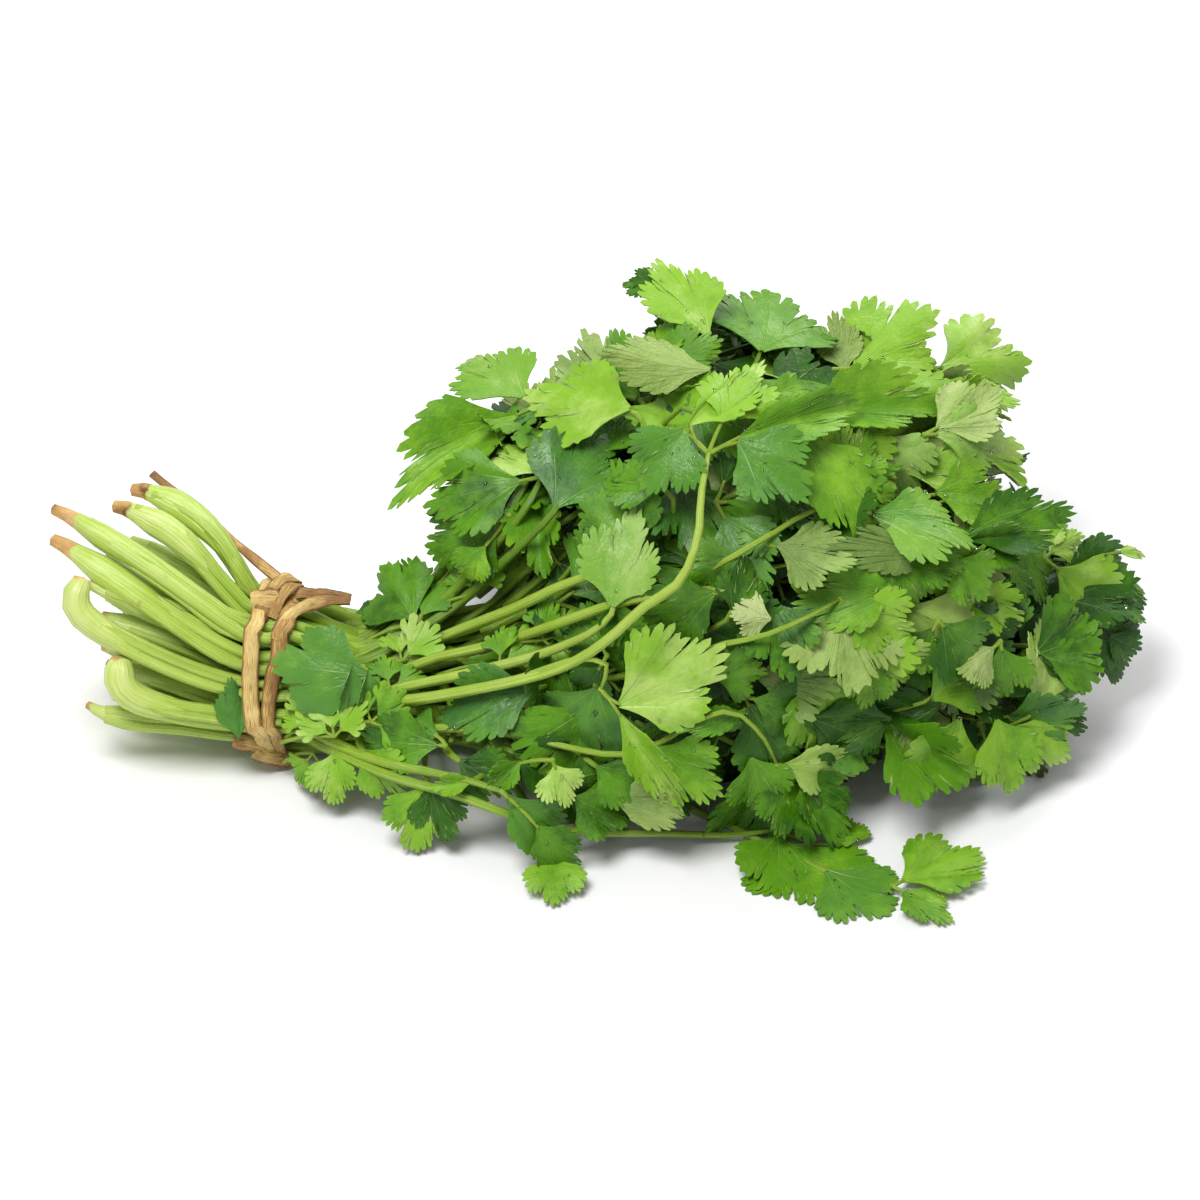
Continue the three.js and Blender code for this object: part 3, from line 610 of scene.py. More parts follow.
def smooth_path(points, count):
    """Evenly spaced places on a smooth line through the given ones."""
    points = np.array(points, float)
    before = 2 * points[0] - points[1]
    after = 2 * points[-1] - points[-2]
    knots = np.vstack([before, points, after])
    line = []
    for k in range(1, len(knots) - 2):
        t = np.linspace(0, 1, LINE_STEPS, endpoint=False)[:, None]
        a, b, c, d = knots[k - 1 : k + 3]
        line.append(
            0.5 * (2 * b + (c - a) * t + (2 * a - 5 * b + 4 * c - d) * t**2
                   + (3 * b - a - 3 * c + d) * t**3)
        )
    line = np.vstack([*line, points[-1:]])
    lengths = np.concatenate([[0], np.cumsum(np.linalg.norm(np.diff(line, axis=0), axis=1))])
    wanted = np.linspace(0, lengths[-1], count)
    return np.stack([np.interp(wanted, lengths, line[:, k]) for k in range(3)], 1)


def make_tube(pattern, sides, path, radii, tone, root=None, lumps=0.0, seed=0.0):
    """Rolls the sheet round a path. Both ends are closed to a point."""
    piece = copy_pattern(pattern)
    mesh = piece.data
    stations = len(path)
    path = np.array(path, float)
    radii = np.asarray(radii) * bpy.context.scene.coriander_sizes.stalk
    # clear of the floor
    path[:, 2] = np.maximum(path[:, 2], radii * 1.1 + 0.4)
    places = read_places(mesh)
    column = cells_of(places[:, 0], sides)
    row = cells_of(places[:, 1], stations + 1)
    # a frame that is carried along the path without turning round it
    tangents = np.gradient(path, axis=0)
    tangents /= np.maximum(np.linalg.norm(tangents, axis=1, keepdims=True), 1e-9)
    side = unit(np.cross(tangents[0], [0.0, 0.0, 1.0]) + 1e-6)
    sides_at, lifts_at = [], []
    for tangent in tangents:
        side = unit(side - tangent * np.dot(side, tangent))
        sides_at.append(side)
        lifts_at.append(np.cross(tangent, side))
    station = np.clip(row - 1, 0, stations - 1)
    closed = (row > 0) & (row < stations + 1)
    around = 2 * math.pi * column / sides
    size = radii[station] * closed
    size = size * (1 + lumps * np.sin(3 * around + seed) + 0.5 * lumps * np.sin(5 * around + 2 * seed))
    placed = path[station] + size[:, None] * (
        np.cos(around)[:, None] * np.array(sides_at)[station]
        + np.sin(around)[:, None] * np.array(lifts_at)[station]
    )
    tips = np.where(row == 0, -TIP_REACH, 0.0) + np.where(row == stations + 1, TIP_REACH, 0.0)
    placed += tangents[station] * (tips * radii[station])[:, None]
    write_places(mesh, placed)
    tones = np.broadcast_to(np.asarray(tone, float), (stations,))[station]
    mesh.attributes["tone"].data.foreach_set("value", tones)
    roots = np.zeros(stations) if root is None else np.asarray(root, float)
    mesh.attributes["root"].data.foreach_set("value", roots[station])
    return piece


# ---------------------------------------------------------------- layout


def lay_out_plants():
    """Where each plant passes the tie, in rows packed like pipes."""
    plants = []
    for row, count in enumerate(ROW_COUNTS):
        z = LOWEST_PLANT + row * ROW_PITCH * math.sin(math.pi / 3)
        for column in range(count):
            plants.append({"row": row, "y": (column - (count - 1) / 2) * ROW_PITCH, "z": z})
    return plants


# Root ends that show: plant number, then the crown's places from its tip towards the tie
CROWNS = {
    27: [(-38, 27.5, 60), (-34, 27, 59.8), (-25, 24.5, 56.6), (-16, 18, 52.4), (-9, 10.5, 46.5)],
    26: [(-42.5, 20.5, 59.8), (-38, 20, 58.8), (-26, 15, 54.3), (-14, 6, 46.5)],
    25: [(-58.5, 17.5, 61.3), (-52, 15, 59.3), (-34, 5, 52.8), (-16, -4, 44.0)],
    21: [(-58.5, 10.5, 56.2), (-53, 8.5, 54), (-34, -2, 45.8), (-16, -9, 36)],
    22: [(-49, 1.5, 48), (-45, 0.5, 47), (-30, -3, 42.5), (-15, -4.5, 37)],
    16: [(-49.5, -3, 53.0), (-51.6, -6, 48.6), (-48.0, -9, 43.6), (-34, -12.5, 35.6), (-16, -15, 28)],
    10: [(-39.5, -14, 35), (-39.8, -17, 30.4), (-36, -19, 26), (-26, -19.5, 22), (-14, -19.3, 19.5)],
    5: [(-49.5, -13.5, 18.8), (-45, -15, 17), (-40, -15.4, 15.8), (-26, -15.0, 14.5), (-14, -15.3, 12.5)],
}
# Half the thickness of a crown from its root tip to the tie, for each kind of root end
CROWN_SHAPES = {
    "stub": ([0, 0.035, 0.07, 0.13, 0.22, 0.4, 0.65, 1.0], [1.5, 2.0, 1.8, 2.7, 3.7, 3.4, 1.9, 1.0]),
    "blunt": ([0, 0.04, 0.10, 0.2, 0.4, 0.65, 1.0], [2.6, 3.7, 4.1, 4.0, 3.4, 1.9, 1.0]),
    "thin": ([0, 0.04, 0.10, 0.2, 0.4, 0.65, 1.0], [1.0, 1.4, 1.9, 2.4, 2.7, 1.9, 1.0]),
    "slim": ([0, 0.05, 0.10, 0.2, 0.4, 0.65, 1.0], [1.2, 1.7, 2.3, 2.9, 3.1, 1.9, 1.0]),
}
# Plants whose root end is not slim
CROWN_ENDS = {27: "stub", 26: "stub", 25: "stub", 21: "stub", 16: "blunt", 10: "blunt", 5: "thin"}
# How brown each kind of crown is over its first sixth
ROOT_STAINS = {
    "stub": [1.0, 0.9, 0.35, 0.0], "thin": [0.7, 0.3, 0.0, 0.0], "blunt": [0.5, 0.05, 0.0, 0.0],
    "slim": [0.55, 0.25, 0.0, 0.0],
}


def crown_line(plants, index):
    """Places on a plant's axis from its root tip to the tie. Hidden crowns fan out by rule."""
    plant = plants[index]
    if index + 1 in CROWNS:
        return CROWNS[index + 1] + [(-6, plant["y"], plant["z"]), (3, plant["y"], plant["z"])]
    reach = 43 + 4 * math.sin(2.4 * index) - (4 if plant["row"] == 5 else 0)
    end_y = plant["y"] * 1.5 + 12 + 2 * math.sin(1.7 * index)
    end_z = LOWEST_PLANT + (11.5 if plant["row"] == 0 else 7) + (plant["z"] - LOWEST_PLANT) * 1.34
    line = []
    for x in (-reach, -reach + 6, -reach + 20, -20, -8, 3):
        share = max(0.0, (-x - 5) / 45) ** 0.6 if plant["row"] == 0 else max(0.0, (-x - 8) / 42) ** 0.85
        y = plant["y"] + (end_y - plant["y"]) * share
        line.append((x, y, plant["z"] + (end_z - plant["z"]) * share))
    return line


# Leaves that fill the head: layer, how many, how far out they lie, and their span round the head
# from the near side 0 over the top to the far side 1
FILL_LAYERS = [
    ("far", 38, 0.97, 0.52, 1.0), ("front", 38, 0.92, 0.02, 0.62), ("inner", 42, 0.80, 0.0, 1.0),
    ("core", 18, 0.58, 0.05, 0.95),
]
# Low leaves that close the leaf end under the overhang
END_LEAVES = 13
# Shares whose multiples spread evenly between 0 and 1
GOLDEN = 0.6180339887
EVEN = 0.7548
# Tone ranges of the fill leaves by layer. The inner and core leaves, inside the head and closing its end
# under the overhang, are painted dark as shade; the lit ones, high at the top right, are painted lighter as
# light falling there.
TONES = {
    "far": (0.22, 0.75), "front": (0.12, 0.5), "lit": (0.5, 0.85), "inner": (0.03, 0.25),
    "core": (0.03, 0.25),
}


def fill_forks(draw):
    """Forks of the leaves that fill the far side, the underside and the inside of the head.

    Each is its layer, its place, the way its blades face and the way it points.
    """
    forks = []
    for layer, count, share, start, end in FILL_LAYERS:
        for k in range(count):
            x = 54 + 158 * ((k + 0.5) / count)
            if layer == "far":
                x = 60 + 126 * ((k * EVEN) % 1.0)
            around = start + (end - start) * ((k * GOLDEN + 0.31) % 1.0)
            near, far, height = section_at(MASS, x)
            if layer != "far" and x < 70 and around < 0.45:
                around = 0.45 + 0.5 * draw.random()
            angle = math.pi * (1 - around)
            bulge = 2 / HEAD_POWER
            wide, tall = math.cos(angle), max(math.sin(angle), 0.0)
            middle, half = (near + far) / 2, (far - near) / 2
            y = middle + share * half * math.copysign(abs(wide) ** bulge, wide)
            z = share * height * tall**bulge
            normal = (0.25 * (x - 130) / 100, wide / half * 60, tall / height * 60 + 0.15)
            rightmost = 190.0 if z < 22 else 176.0 if z > 44 else 198.0
            place = (min(x, rightmost), y, max(z, 3.0))
            forks.append((layer, place, normal, (1.0, 0.9 * wide, 0.35 * tall)))
    for k in range(END_LEAVES):
        place = (190.0 + 5 * (k % 4), 12.0 + 3.2 * k, 7.0 + 31 * ((k * GOLDEN) % 1.0))
        normal = (0.8, -0.2 + 0.1 * (k % 4), 0.5)
        forks.append(("inner", place, normal, (0.3, 0.5 - 0.25 * (k % 5), -0.5)))
    return [(layer, np.array(place), unit(np.array(normal)), unit(np.array(out)))
            for layer, place, normal, out in forks]


def plan_hand_leaf(row, draw):
    """A listed leaf, as its fork and leaflets in millimetres from the tie."""
    x, rise, lift, leaflets = row
    fork, normal = on_head(x, rise, lift)
    # blades turn partly towards the front, less where they lie on the floor
    toward_view = 0.12 if fork[2] < 9 else 0.45
    facing = unit(normal * (1 - toward_view) + TO_VIEW * toward_view)

    def run(degrees):
        """The way on the leaf's plane that shows at this angle from the front."""
        turned = math.radians(degrees)
        flat = np.array([math.cos(turned), 0, 0]) + UP_VIEW * math.sin(turned)
        return flat - TO_VIEW * float(np.dot(flat, facing) / np.dot(TO_VIEW, facing))

    leaf = {"fork": fork, "leaflets": [], "layer": "hand"}
    for toward, gap, heading, length, width, tone, form in leaflets:
        ahead = run(heading)
        tilt = np.array([draw.uniform(-0.16, 0.16) for _ in range(3)])
        leaf["leaflets"].append({
            "base": fork + run(toward) * gap, "heading": unit(ahead), "normal": unit(facing + tilt),
            "length": length * min(np.linalg.norm(ahead), 1.3), "width": width, "tone": tone,
            "form": form,
        })
    if (x, rise) in SHOWN_STALKS:
        stations, girth, shade = SHOWN_STALKS[(x, rise)]
        leaf["via"] = [shown_at(*station) for station in stations]
        leaf["girth"], leaf["shade"] = girth, shade
    return leaf


def plan_leaves():
    """Every leaf as a fork with its leaflets, in millimetres from the tie."""
    draw = random.Random(11)
    leaves = [plan_hand_leaf(row, draw) for row in HAND_LEAVES]
    for layer, place, normal, out in fill_forks(draw):
        leaf = {"fork": place, "leaflets": [], "layer": layer}
        ahead = unit(out - normal * float(np.dot(out, normal)))
        beside = np.cross(normal, ahead)
        outer = layer in ("far", "front")
        # fill leaves high at the top right take the lit tones, painted lighter as light
        tones = TONES["lit" if outer and place[0] > 140 and place[2] > 50 else layer]
        turned = draw.uniform(-0.9, 0.9)
        for swing in (0.0, 1.15, -1.15):
            angle = swing + turned + draw.uniform(-0.2, 0.2)
            heading = ahead * math.cos(angle) + beside * math.sin(angle)
            tilt = np.array([draw.uniform(-0.3, 0.3) for _ in range(3)])
            leaf["leaflets"].append({
                "base": place + heading * draw.uniform(3, 9), "heading": heading,
                "normal": unit(normal + tilt),
                "length": draw.uniform(21, 29) * (0.8 if place[0] > 170 else 1.0),
                "width": draw.uniform(0.75, 1.05), "tone": draw.uniform(*tones),
                "form": draw.choice(["", "", "", "v", "u", "w"]),
            })
        leaves.append(leaf)
    return leaves


def give_leaves_to_plants(plants, leaves):
    """Runs three stalks through the tie for every plant and hands each leaf to a stalk.

    The leaves that show choose first. Once every stalk has a leaf, the rest hang on side stalks.
    """
    slots = []
    for index, plant in enumerate(plants):
        for k in range(STALKS_EACH):
            angle = 2 * math.pi * k / STALKS_EACH + 0.9 * index
            offset = (2.2 * math.cos(angle), 2.2 * math.sin(angle))
            slots.append({"plant": index, "offset": offset, "y": plant["y"] + offset[0],
                          "z": plant["z"] + offset[1], "leaf": None})
    free = list(slots)
    ranks = {"shown": 0, "hand": 1, "far": 2, "front": 3, "core": 4, "inner": 5}
    order = sorted(leaves, key=lambda leaf: ranks["shown" if "via" in leaf else leaf["layer"]])
    for leaf in order:
        y, z = leaf["fork"][1:]
        wanted_y = np.clip((y - 15) / 70, -1, 1) * 19
        wanted_z = 6 + np.clip(z / 100, 0, 1) * 33
        if "via" in leaf:
            wanted_y, wanted_z = leaf["via"][0][1:] * 0.9
        pool = free if free else slots
        best = min(pool, key=lambda s: (s["y"] - wanted_y) ** 2 + (s["z"] - wanted_z) ** 2)
        leaf["plant"] = best["plant"]
        leaf["slot"] = best
        leaf["branch"] = not free
        if free:
            free.remove(best)
            best["leaf"] = leaf
    return slots


# ---------------------------------------------------------------- materials


def new_material(name):
    """A material with only its surface shader."""
    material = bpy.data.materials.new(name)
    material.use_nodes = True
    tree = material.node_tree
    tree.nodes.clear()
    output = tree.nodes.new("ShaderNodeOutputMaterial")
    shader = tree.nodes.new("ShaderNodeBsdfPrincipled")
    tree.links.new(shader.outputs[0], output.inputs[0])
    return material, tree, shader


def plug(tree, socket, value):
    """Links the socket to another one, or sets it to a value."""
    if isinstance(value, bpy.types.NodeSocket):
        tree.links.new(value, socket)
    else:
        socket.default_value = value


def add_node(tree, kind, inputs=None, **settings):
    """A node with its settings and inputs."""
    node = tree.nodes.new(kind)
    for key, value in settings.items():
        setattr(node, key, value)
    for key, value in (inputs or {}).items():
        plug(tree, node.inputs[key], value)
    return node


def math_node(tree, operation, *values, clamp=False):
    """One step of arithmetic."""
    inputs = dict(enumerate(values))
    return add_node(tree, "ShaderNodeMath", inputs, operation=operation, use_clamp=clamp).outputs[0]


def add_scaled(tree, pattern, amount, base, middle):
    """The base shifted up and down by a pattern whose own middle is one half."""
    return math_node(tree, "MULTIPLY_ADD", pattern, amount, math_node(tree, "ADD", base, middle))


def noise(tree, place, scale, detail):
    """A cloudy pattern from 0 to 1."""
    inputs = {"Vector": place, "Scale": scale, "Detail": detail}
    return add_node(tree, "ShaderNodeTexNoise", inputs).outputs[0]


def painted(tree, label):
    """A value that the piece carries on its vertices."""
    return add_node(tree, "ShaderNodeAttribute", attribute_name=label).outputs["Fac"]


def fade(tree, value, start, end, first, last, kind="SMOOTHSTEP"):
    """Runs from first to last while the value goes from start to end."""
    inputs = {0: value, 1: start, 2: end, 3: first, 4: last}
    return add_node(tree, "ShaderNodeMapRange", inputs, interpolation_type=kind).outputs[0]


def ramp(tree, factor, stops):
    """A colour that runs through the stops as the factor goes from 0 to 1."""
    node = add_node(tree, "ShaderNodeValToRGB", {0: factor})
    node.color_ramp.interpolation = "EASE"
    while len(node.color_ramp.elements) < len(stops):
        node.color_ramp.elements.new(0.5)
    for element, (position, colour) in zip(node.color_ramp.elements, stops):
        element.position = position
        element.color = (*colour, 1)
    return node.outputs[0]


def mix_colours(tree, factor, first, second):
    """The first colour, or the second where the factor is 1."""
    node = add_node(tree, "ShaderNodeMix", data_type="RGBA")
    for socket, value in ((node.inputs[0], factor), (node.inputs[6], first), (node.inputs[7], second)):
        plug(tree, socket, (*value, 1) if isinstance(value, tuple) else value)
    return node.outputs[2]


def add_bump(tree, shader, height, strength, distance, invert=False):
    """Raises and lowers the surface's shading by a pattern."""
    inputs = {"Strength": strength, "Distance": distance, "Height": height}
    node = add_node(tree, "ShaderNodeBump", inputs, invert=invert)
    tree.links.new(node.outputs[0], shader.inputs["Normal"])


def make_vein_group():
    """Masks for a leaf: its main veins, side veins and the puckers between them."""
    tree = bpy.data.node_groups.new("leaf_veins", "ShaderNodeTree")
    for label in ("Main", "Side", "Pucker"):
        tree.interface.new_socket(label, in_out="OUTPUT", socket_type="NodeSocketFloat")
    output = tree.nodes.new("NodeGroupOutput")
    place = add_node(tree, "ShaderNodeUVMap", uv_map="UVMap").outputs[0]
    waver = math_node(tree, "MULTIPLY_ADD", noise(tree, place, 7.0, 2.0), 0.16, -0.08)
    parts = add_node(tree, "ShaderNodeSeparateXYZ", {0: place})
    beside, outward = parts.outputs[0], parts.outputs[1]
    width = math_node(tree, "MULTIPLY_ADD", outward, -0.012, 0.016)
    main = fade(tree, beside, width, 0.0, 0.0, 1.0)
    slant = math_node(tree, "MULTIPLY_ADD", beside, -1.25, math_node(tree, "ADD", outward, waver))
    saw = math_node(tree, "PINGPONG", math_node(tree, "MULTIPLY", slant, 4.6), 0.5)
    side = fade(tree, saw, 0.09, 0.0, 0.0, 0.7)
    puff = math_node(tree, "SMOOTH_MIN", saw, 0.34, 0.2)
    cells = add_node(tree, "ShaderNodeTexVoronoi", {"Vector": place, "Scale": 17.0},
                     feature="DISTANCE_TO_EDGE").outputs[0]
    pucker = math_node(tree, "MULTIPLY_ADD", math_node(tree, "SMOOTH_MIN", cells, 0.3, 0.2), 0.9, puff)
    for k, socket in enumerate((main, side, pucker)):
        tree.links.new(socket, output.inputs[k])
    return tree


def make_leaf_material(name, stops, veins, vein_colour, vein_share, rough, bump, underside=False):
    """One face of a leaf: mottled greens by the leaf's tone, paler veins, sheen in patches, and a painted
    blue-green sheen tint on wet leaves.
    """
    material, tree, shader = new_material(name)
    wet = painted(tree, "wet")
    place = add_node(tree, "ShaderNodeTexCoord").outputs["Object"]
    patch = noise(tree, place, 85.0, 3.0)
    cloud = noise(tree, place, 260.0, 3.0)
    speck = noise(tree, place, 1100.0, 2.0)
    group = tree.nodes.new("ShaderNodeGroup")
    group.node_tree = veins
    main, side, pucker = group.outputs
    tone = add_scaled(tree, patch, 0.40, painted(tree, "tone"), -0.20)
    tone = add_scaled(tree, cloud, 0.26, tone, -0.13)
    tone = add_scaled(tree, speck, 0.10, tone, -0.05)
    colour = ramp(tree, tone, stops)
    lines = math_node(tree, "MULTIPLY_ADD", side, 0.32, main, clamp=True)
    factor = math_node(tree, "MULTIPLY", lines, vein_share)
    lighter = mix_colours(tree, 0.5, colour, vein_colour)
    colour = mix_colours(tree, factor, colour, lighter)
    # wet leaves mix towards a blue-green, a painted sheen that stands in for light reflected off the wet
    # surface
    colour_with_painted_sheen = mix_colours(tree, math_node(tree, "MULTIPLY", wet, 0.30), colour, (0.060, 0.185, 0.055))
    tree.links.new(colour_with_painted_sheen, shader.inputs["Base Color"])
    sheen = fade(tree, patch, 0.44, 0.64, rough, rough - 0.18)
    dampness = math_node(tree, "MULTIPLY", wet, 0.08)
    tree.links.new(math_node(tree, "SUBTRACT", sheen, dampness), shader.inputs["Roughness"])
    height = math_node(tree, "MULTIPLY_ADD", side, -0.15, math_node(tree, "MULTIPLY", main, -0.9))
    height = math_node(tree, "MULTIPLY_ADD", pucker, 0.8, height)
    height = math_node(tree, "MULTIPLY_ADD", speck, 0.30, height)
    height = math_node(tree, "MULTIPLY_ADD", cloud, 1.3, height)
    add_bump(tree, shader, height, bump, 0.0006, underside)
    shader.inputs["Specular IOR Level"].default_value = 0.32
    return material


def make_stem_material(hues):
    """Stalks: pale ribbed skin with a few scars, ragged and brown at the root."""
    material, tree, shader = new_material("stem_skin")
    place = add_node(tree, "ShaderNodeTexCoord").outputs["Object"]
    unrolled = add_node(tree, "ShaderNodeUVMap", uv_map="UVMap").outputs[0]
    stretched = add_node(tree, "ShaderNodeMapping", {0: unrolled, 3: (26.0, 3.0, 1.0)}).outputs[0]
    ridges = noise(tree, stretched, 1.0, 3.0)
    blotch = noise(tree, place, 160.0, 4.0)
    shade = add_scaled(tree, ridges, 0.7, painted(tree, "tone"), -0.35)
    shade = add_scaled(tree, blotch, 0.24, shade, -0.12)
    colour = ramp(tree, shade, [
        (0.0, (0.030, 0.090, 0.004)), (0.3, (0.130, 0.260, 0.012)), (0.55, tuple(hues.stem_green)),
        (0.8, (0.415, 0.560, 0.085)), (1.0, tuple(hues.stem_pale)),
    ])
    scar = noise(tree, place, 330.0, 2.0)
    scars = fade(tree, scar, 0.70, 0.78, 0.0, 0.55, "LINEAR")
    colour = mix_colours(tree, scars, colour, (0.33, 0.24, 0.08))
    earth = ramp(tree, blotch, [
        (0.3, tuple(hues.root_brown)), (0.48, tuple(hues.root_orange)), (0.66, (0.66, 0.44, 0.18)),
    ])
    ragged = add_scaled(tree, blotch, 0.8, painted(tree, "root"), -0.72)
    ragged = math_node(tree, "MULTIPLY_ADD", scar, 0.65, ragged)
    stained = fade(tree, ragged, 0.4, 0.62, 0.0, 1.0)
    colour = mix_colours(tree, stained, colour, earth)
    tree.links.new(colour, shader.inputs["Base Color"])
    tree.links.new(fade(tree, stained, 0.0, 1.0, 0.34, 0.8, "LINEAR"), shader.inputs["Roughness"])
    add_bump(tree, shader, math_node(tree, "MULTIPLY_ADD", blotch, 0.5, ridges), 0.7, 0.0009)
    return material


def make_straw_material(hues):
    """Dried straw: long fibres, clean tan faces, darker borders and aged ends."""
    material, tree, shader = new_material("straw")
    unrolled = add_node(tree, "ShaderNodeUVMap", uv_map="UVMap").outputs[0]
    place = add_node(tree, "ShaderNodeTexCoord").outputs["Object"]
    stretched = add_node(tree, "ShaderNodeMapping", {0: unrolled, 3: (2.0, 22.0, 1.0)}).outputs[0]
    fibre = noise(tree, stretched, 1.5, 4.0)
    blotch = noise(tree, place, 140.0, 4.0)
    shade = math_node(tree, "MULTIPLY_ADD", blotch, 0.45, math_node(tree, "MULTIPLY_ADD", fibre, 0.75, -0.10))
    shade = math_node(tree, "MULTIPLY_ADD", painted(tree, "aged"), -0.30, shade)
    across = add_node(tree, "ShaderNodeSeparateXYZ", {0: unrolled}).outputs[1]
    # each strap is darker towards its borders
    border = fade(tree, math_node(tree, "ABSOLUTE", across), 0.34, 0.5, 0.0, 0.22)
    shade = math_node(tree, "SUBTRACT", shade, border)
    colour = ramp(tree, shade, [
        (0.12, tuple(hues.straw_brown)), (0.36, (0.33, 0.165, 0.040)), (0.48, tuple(hues.straw_tan)),
        (0.66, tuple(hues.straw_pale)),
    ])
    tree.links.new(colour, shader.inputs["Base Color"])
    shader.inputs["Roughness"].default_value = 0.5
    add_bump(tree, shader, fibre, 0.6, 0.0005)
    return material


# Finishes by name, filled on first use
MATERIALS = {}


def materials():
    """The finishes of the leaves, stalks and straw, made once."""
    if not MATERIALS:
        hues = bpy.context.scene.coriander_colours
        veins = make_vein_group()
        upper = [
            (0.0, tuple(hues.leaf_deep)), (0.22, (0.024, 0.102, 0.002)), (0.45, tuple(hues.leaf_green)),
            (0.68, (0.205, 0.410, 0.020)), (0.88, tuple(hues.leaf_fresh)), (1.0, (0.52, 0.68, 0.22)),
        ]
        under = [
            (0.0, tuple(hues.under_dark)), (0.3, (0.140, 0.235, 0.045)), (0.6, (0.270, 0.390, 0.090)),
            (1.0, tuple(hues.under_pale)),
        ]
        MATERIALS["upper"] = make_leaf_material(
            "leaf_upper", upper, veins, (0.42, 0.58, 0.16), 0.40, 0.54, 0.34)
        MATERIALS["under"] = make_leaf_material(
            "leaf_under", under, veins, (0.55, 0.64, 0.34), 0.75, 0.58, 0.6, underside=True)
        MATERIALS["stem"] = make_stem_material(hues)
        MATERIALS["straw"] = make_straw_material(hues)
    return MATERIALS


# ---------------------------------------------------------------- pieces


# The bunch's layout, filled on first use
PLAN = {}


def plan():
    """The layout shared by the stems and the leaves, worked out once."""
    if not PLAN:
        PLAN["plants"] = lay_out_plants()
        PLAN["leaves"] = plan_leaves()
        PLAN["slots"] = give_leaves_to_plants(PLAN["plants"], PLAN["leaves"])
    return PLAN


def turned_out(normal):
    """The direction out of the bunch, whichever side of a leaflet shows."""
    return normal if normal[2] > 0 or normal[1] < 0 else -normal


def stalk_path(slot, leaf, branch):
    """Centre line of a stalk from the tie to its fork."""
    start = np.array([8.0, slot["y"], slot["z"]])
    fork = leaf["fork"]
    if "via" in leaf:
        return smooth_path([start, *leaf["via"], fork], 40)
    mean = unit(sum((item["heading"] for item in leaf["leaflets"]), np.zeros(3)) + 1e-6)
    outward = unit(sum((turned_out(item["normal"]) for item in leaf["leaflets"]), np.zeros(3)) + 1e-6)
    arrive = unit(0.45 * unit(fork - start) + 0.45 * mean + 0.75 * outward)
    span = float(np.linalg.norm(fork - start))
    t = np.linspace(0, 1, 24)[:, None]
    # the topmost stalks leave the tie a little downwards, under the leaves above them
    sink = 0.95 * float(np.clip((slot["z"] - 26) / 14, 0, 1)) ** 2
    first = start + np.array([1.0, 0, -sink]) * (0.58 if fork[0] < 110 else 0.42) * span
    second = fork - arrive * 0.26 * span
    line = ((1 - t) ** 3 * start + 3 * (1 - t) ** 2 * t * first + 3 * (1 - t) * t**2 * second + t**3 * fork)
    return line[10:] if branch else line


def run_on(leaf):
    """The last places of a stalk that carries one leaflet, under the start of its blade."""
    item = leaf["leaflets"][0]
    heading = item["heading"]
    face = unit(np.cross(np.cross(heading, item["normal"]), heading))
    return [item["base"] + heading * ahead - face * below for ahead, below in ((0.8, 0.3), (3.4, 1.3))]


def make_crown(index, axis, patterns, draw):
    """The swollen, ribbed root end of a plant, with its brown root."""
    spread = np.linspace(0, 1, CROWN_STATIONS)
    ending = CROWN_ENDS.get(index + 1, "slim")
    radii = np.interp(spread, *CROWN_SHAPES[ending]) * draw.uniform(0.92, 1.1)
    root = np.interp(spread, [0, 0.05, 0.10, 0.16], ROOT_STAINS[ending])
    tone = np.interp(spread, [0, 0.3, 1], [0.98, 0.86, 0.62]) + draw.uniform(-0.08, 0.04)
    return make_tube(patterns["crown"], 14, axis, radii, tone, root, 0.05, index)


def make_stalk(index, slot, axis, patterns, draw):
    """A stalk that grows out of the crown and runs through the tie to its leaf."""
    offset_y, offset_z = slot["offset"]
    bound = []
    for share in (0.14, 0.3, 0.5, 0.7, 0.9):
        out = np.interp(share, [0.14, 0.3, 0.9], [0.35, 0.8, 1.0])
        bound.append(axis[int(share * 19)] + np.array([0.0, offset_y * out, offset_z * out]))
    rest = [np.array([8.0, slot["y"], slot["z"]])]
    if slot["leaf"] is not None:
        rest = list(stalk_path(slot, slot["leaf"], False)[::3])
        if len(slot["leaf"]["leaflets"]) == 1:
            rest += run_on(slot["leaf"])
    path = smooth_path(bound + rest, STALK_STATIONS)
    along = path[:, 0]
    carried = slot["leaf"] or {}
    free = carried.get("girth", draw.uniform(0.95, 1.2))
    radius = np.interp(along, [-50, -40, -8, 8, 34, 60, 110, 230],
                       [1.6, 2.0, 1.68, 1.62, 1.4, 1.05 * free + 0.1, free, 0.75 * free])
    radius *= np.interp(np.linspace(0, 1, STALK_STATIONS), [0, 0.8, 0.95, 1], [1, 1, 0.75, 0.5])
    late = carried.get("shade", draw.uniform(0.3, 0.55))
    shade = np.interp(along, [-55, -35, -8, 30, 60], [0.93, 0.82, 0.68, (late + 0.55) / 2, late])
    shade = shade + draw.uniform(-0.05, 0.05)
    return make_tube(patterns["stalk"], 10, path, radius, shade, None, 0.035, index + 1.0)


def make_cut_stalks(index, axis, patterns):
    """Two outer stalks of a crown that end at the tie."""
    parts = []
    for turned in (0.0, math.pi):
        angle = turned + 0.9 * index + 1.0
        line = []
        for share in (0.2, 0.4, 0.6, 0.8, 1.0):
            out = np.interp(share, [0.2, 0.4, 1.0], [0.6, 1.0, 1.05])
            beside = np.array([0.0, math.cos(angle), math.sin(angle)])
            line.append(axis[int(share * 19)] + 2.9 * out * beside)
        parts.append(make_tube(patterns["side"], 6, smooth_path(line, 12), np.linspace(1.35, 1.05, 12), 0.74))
    return parts


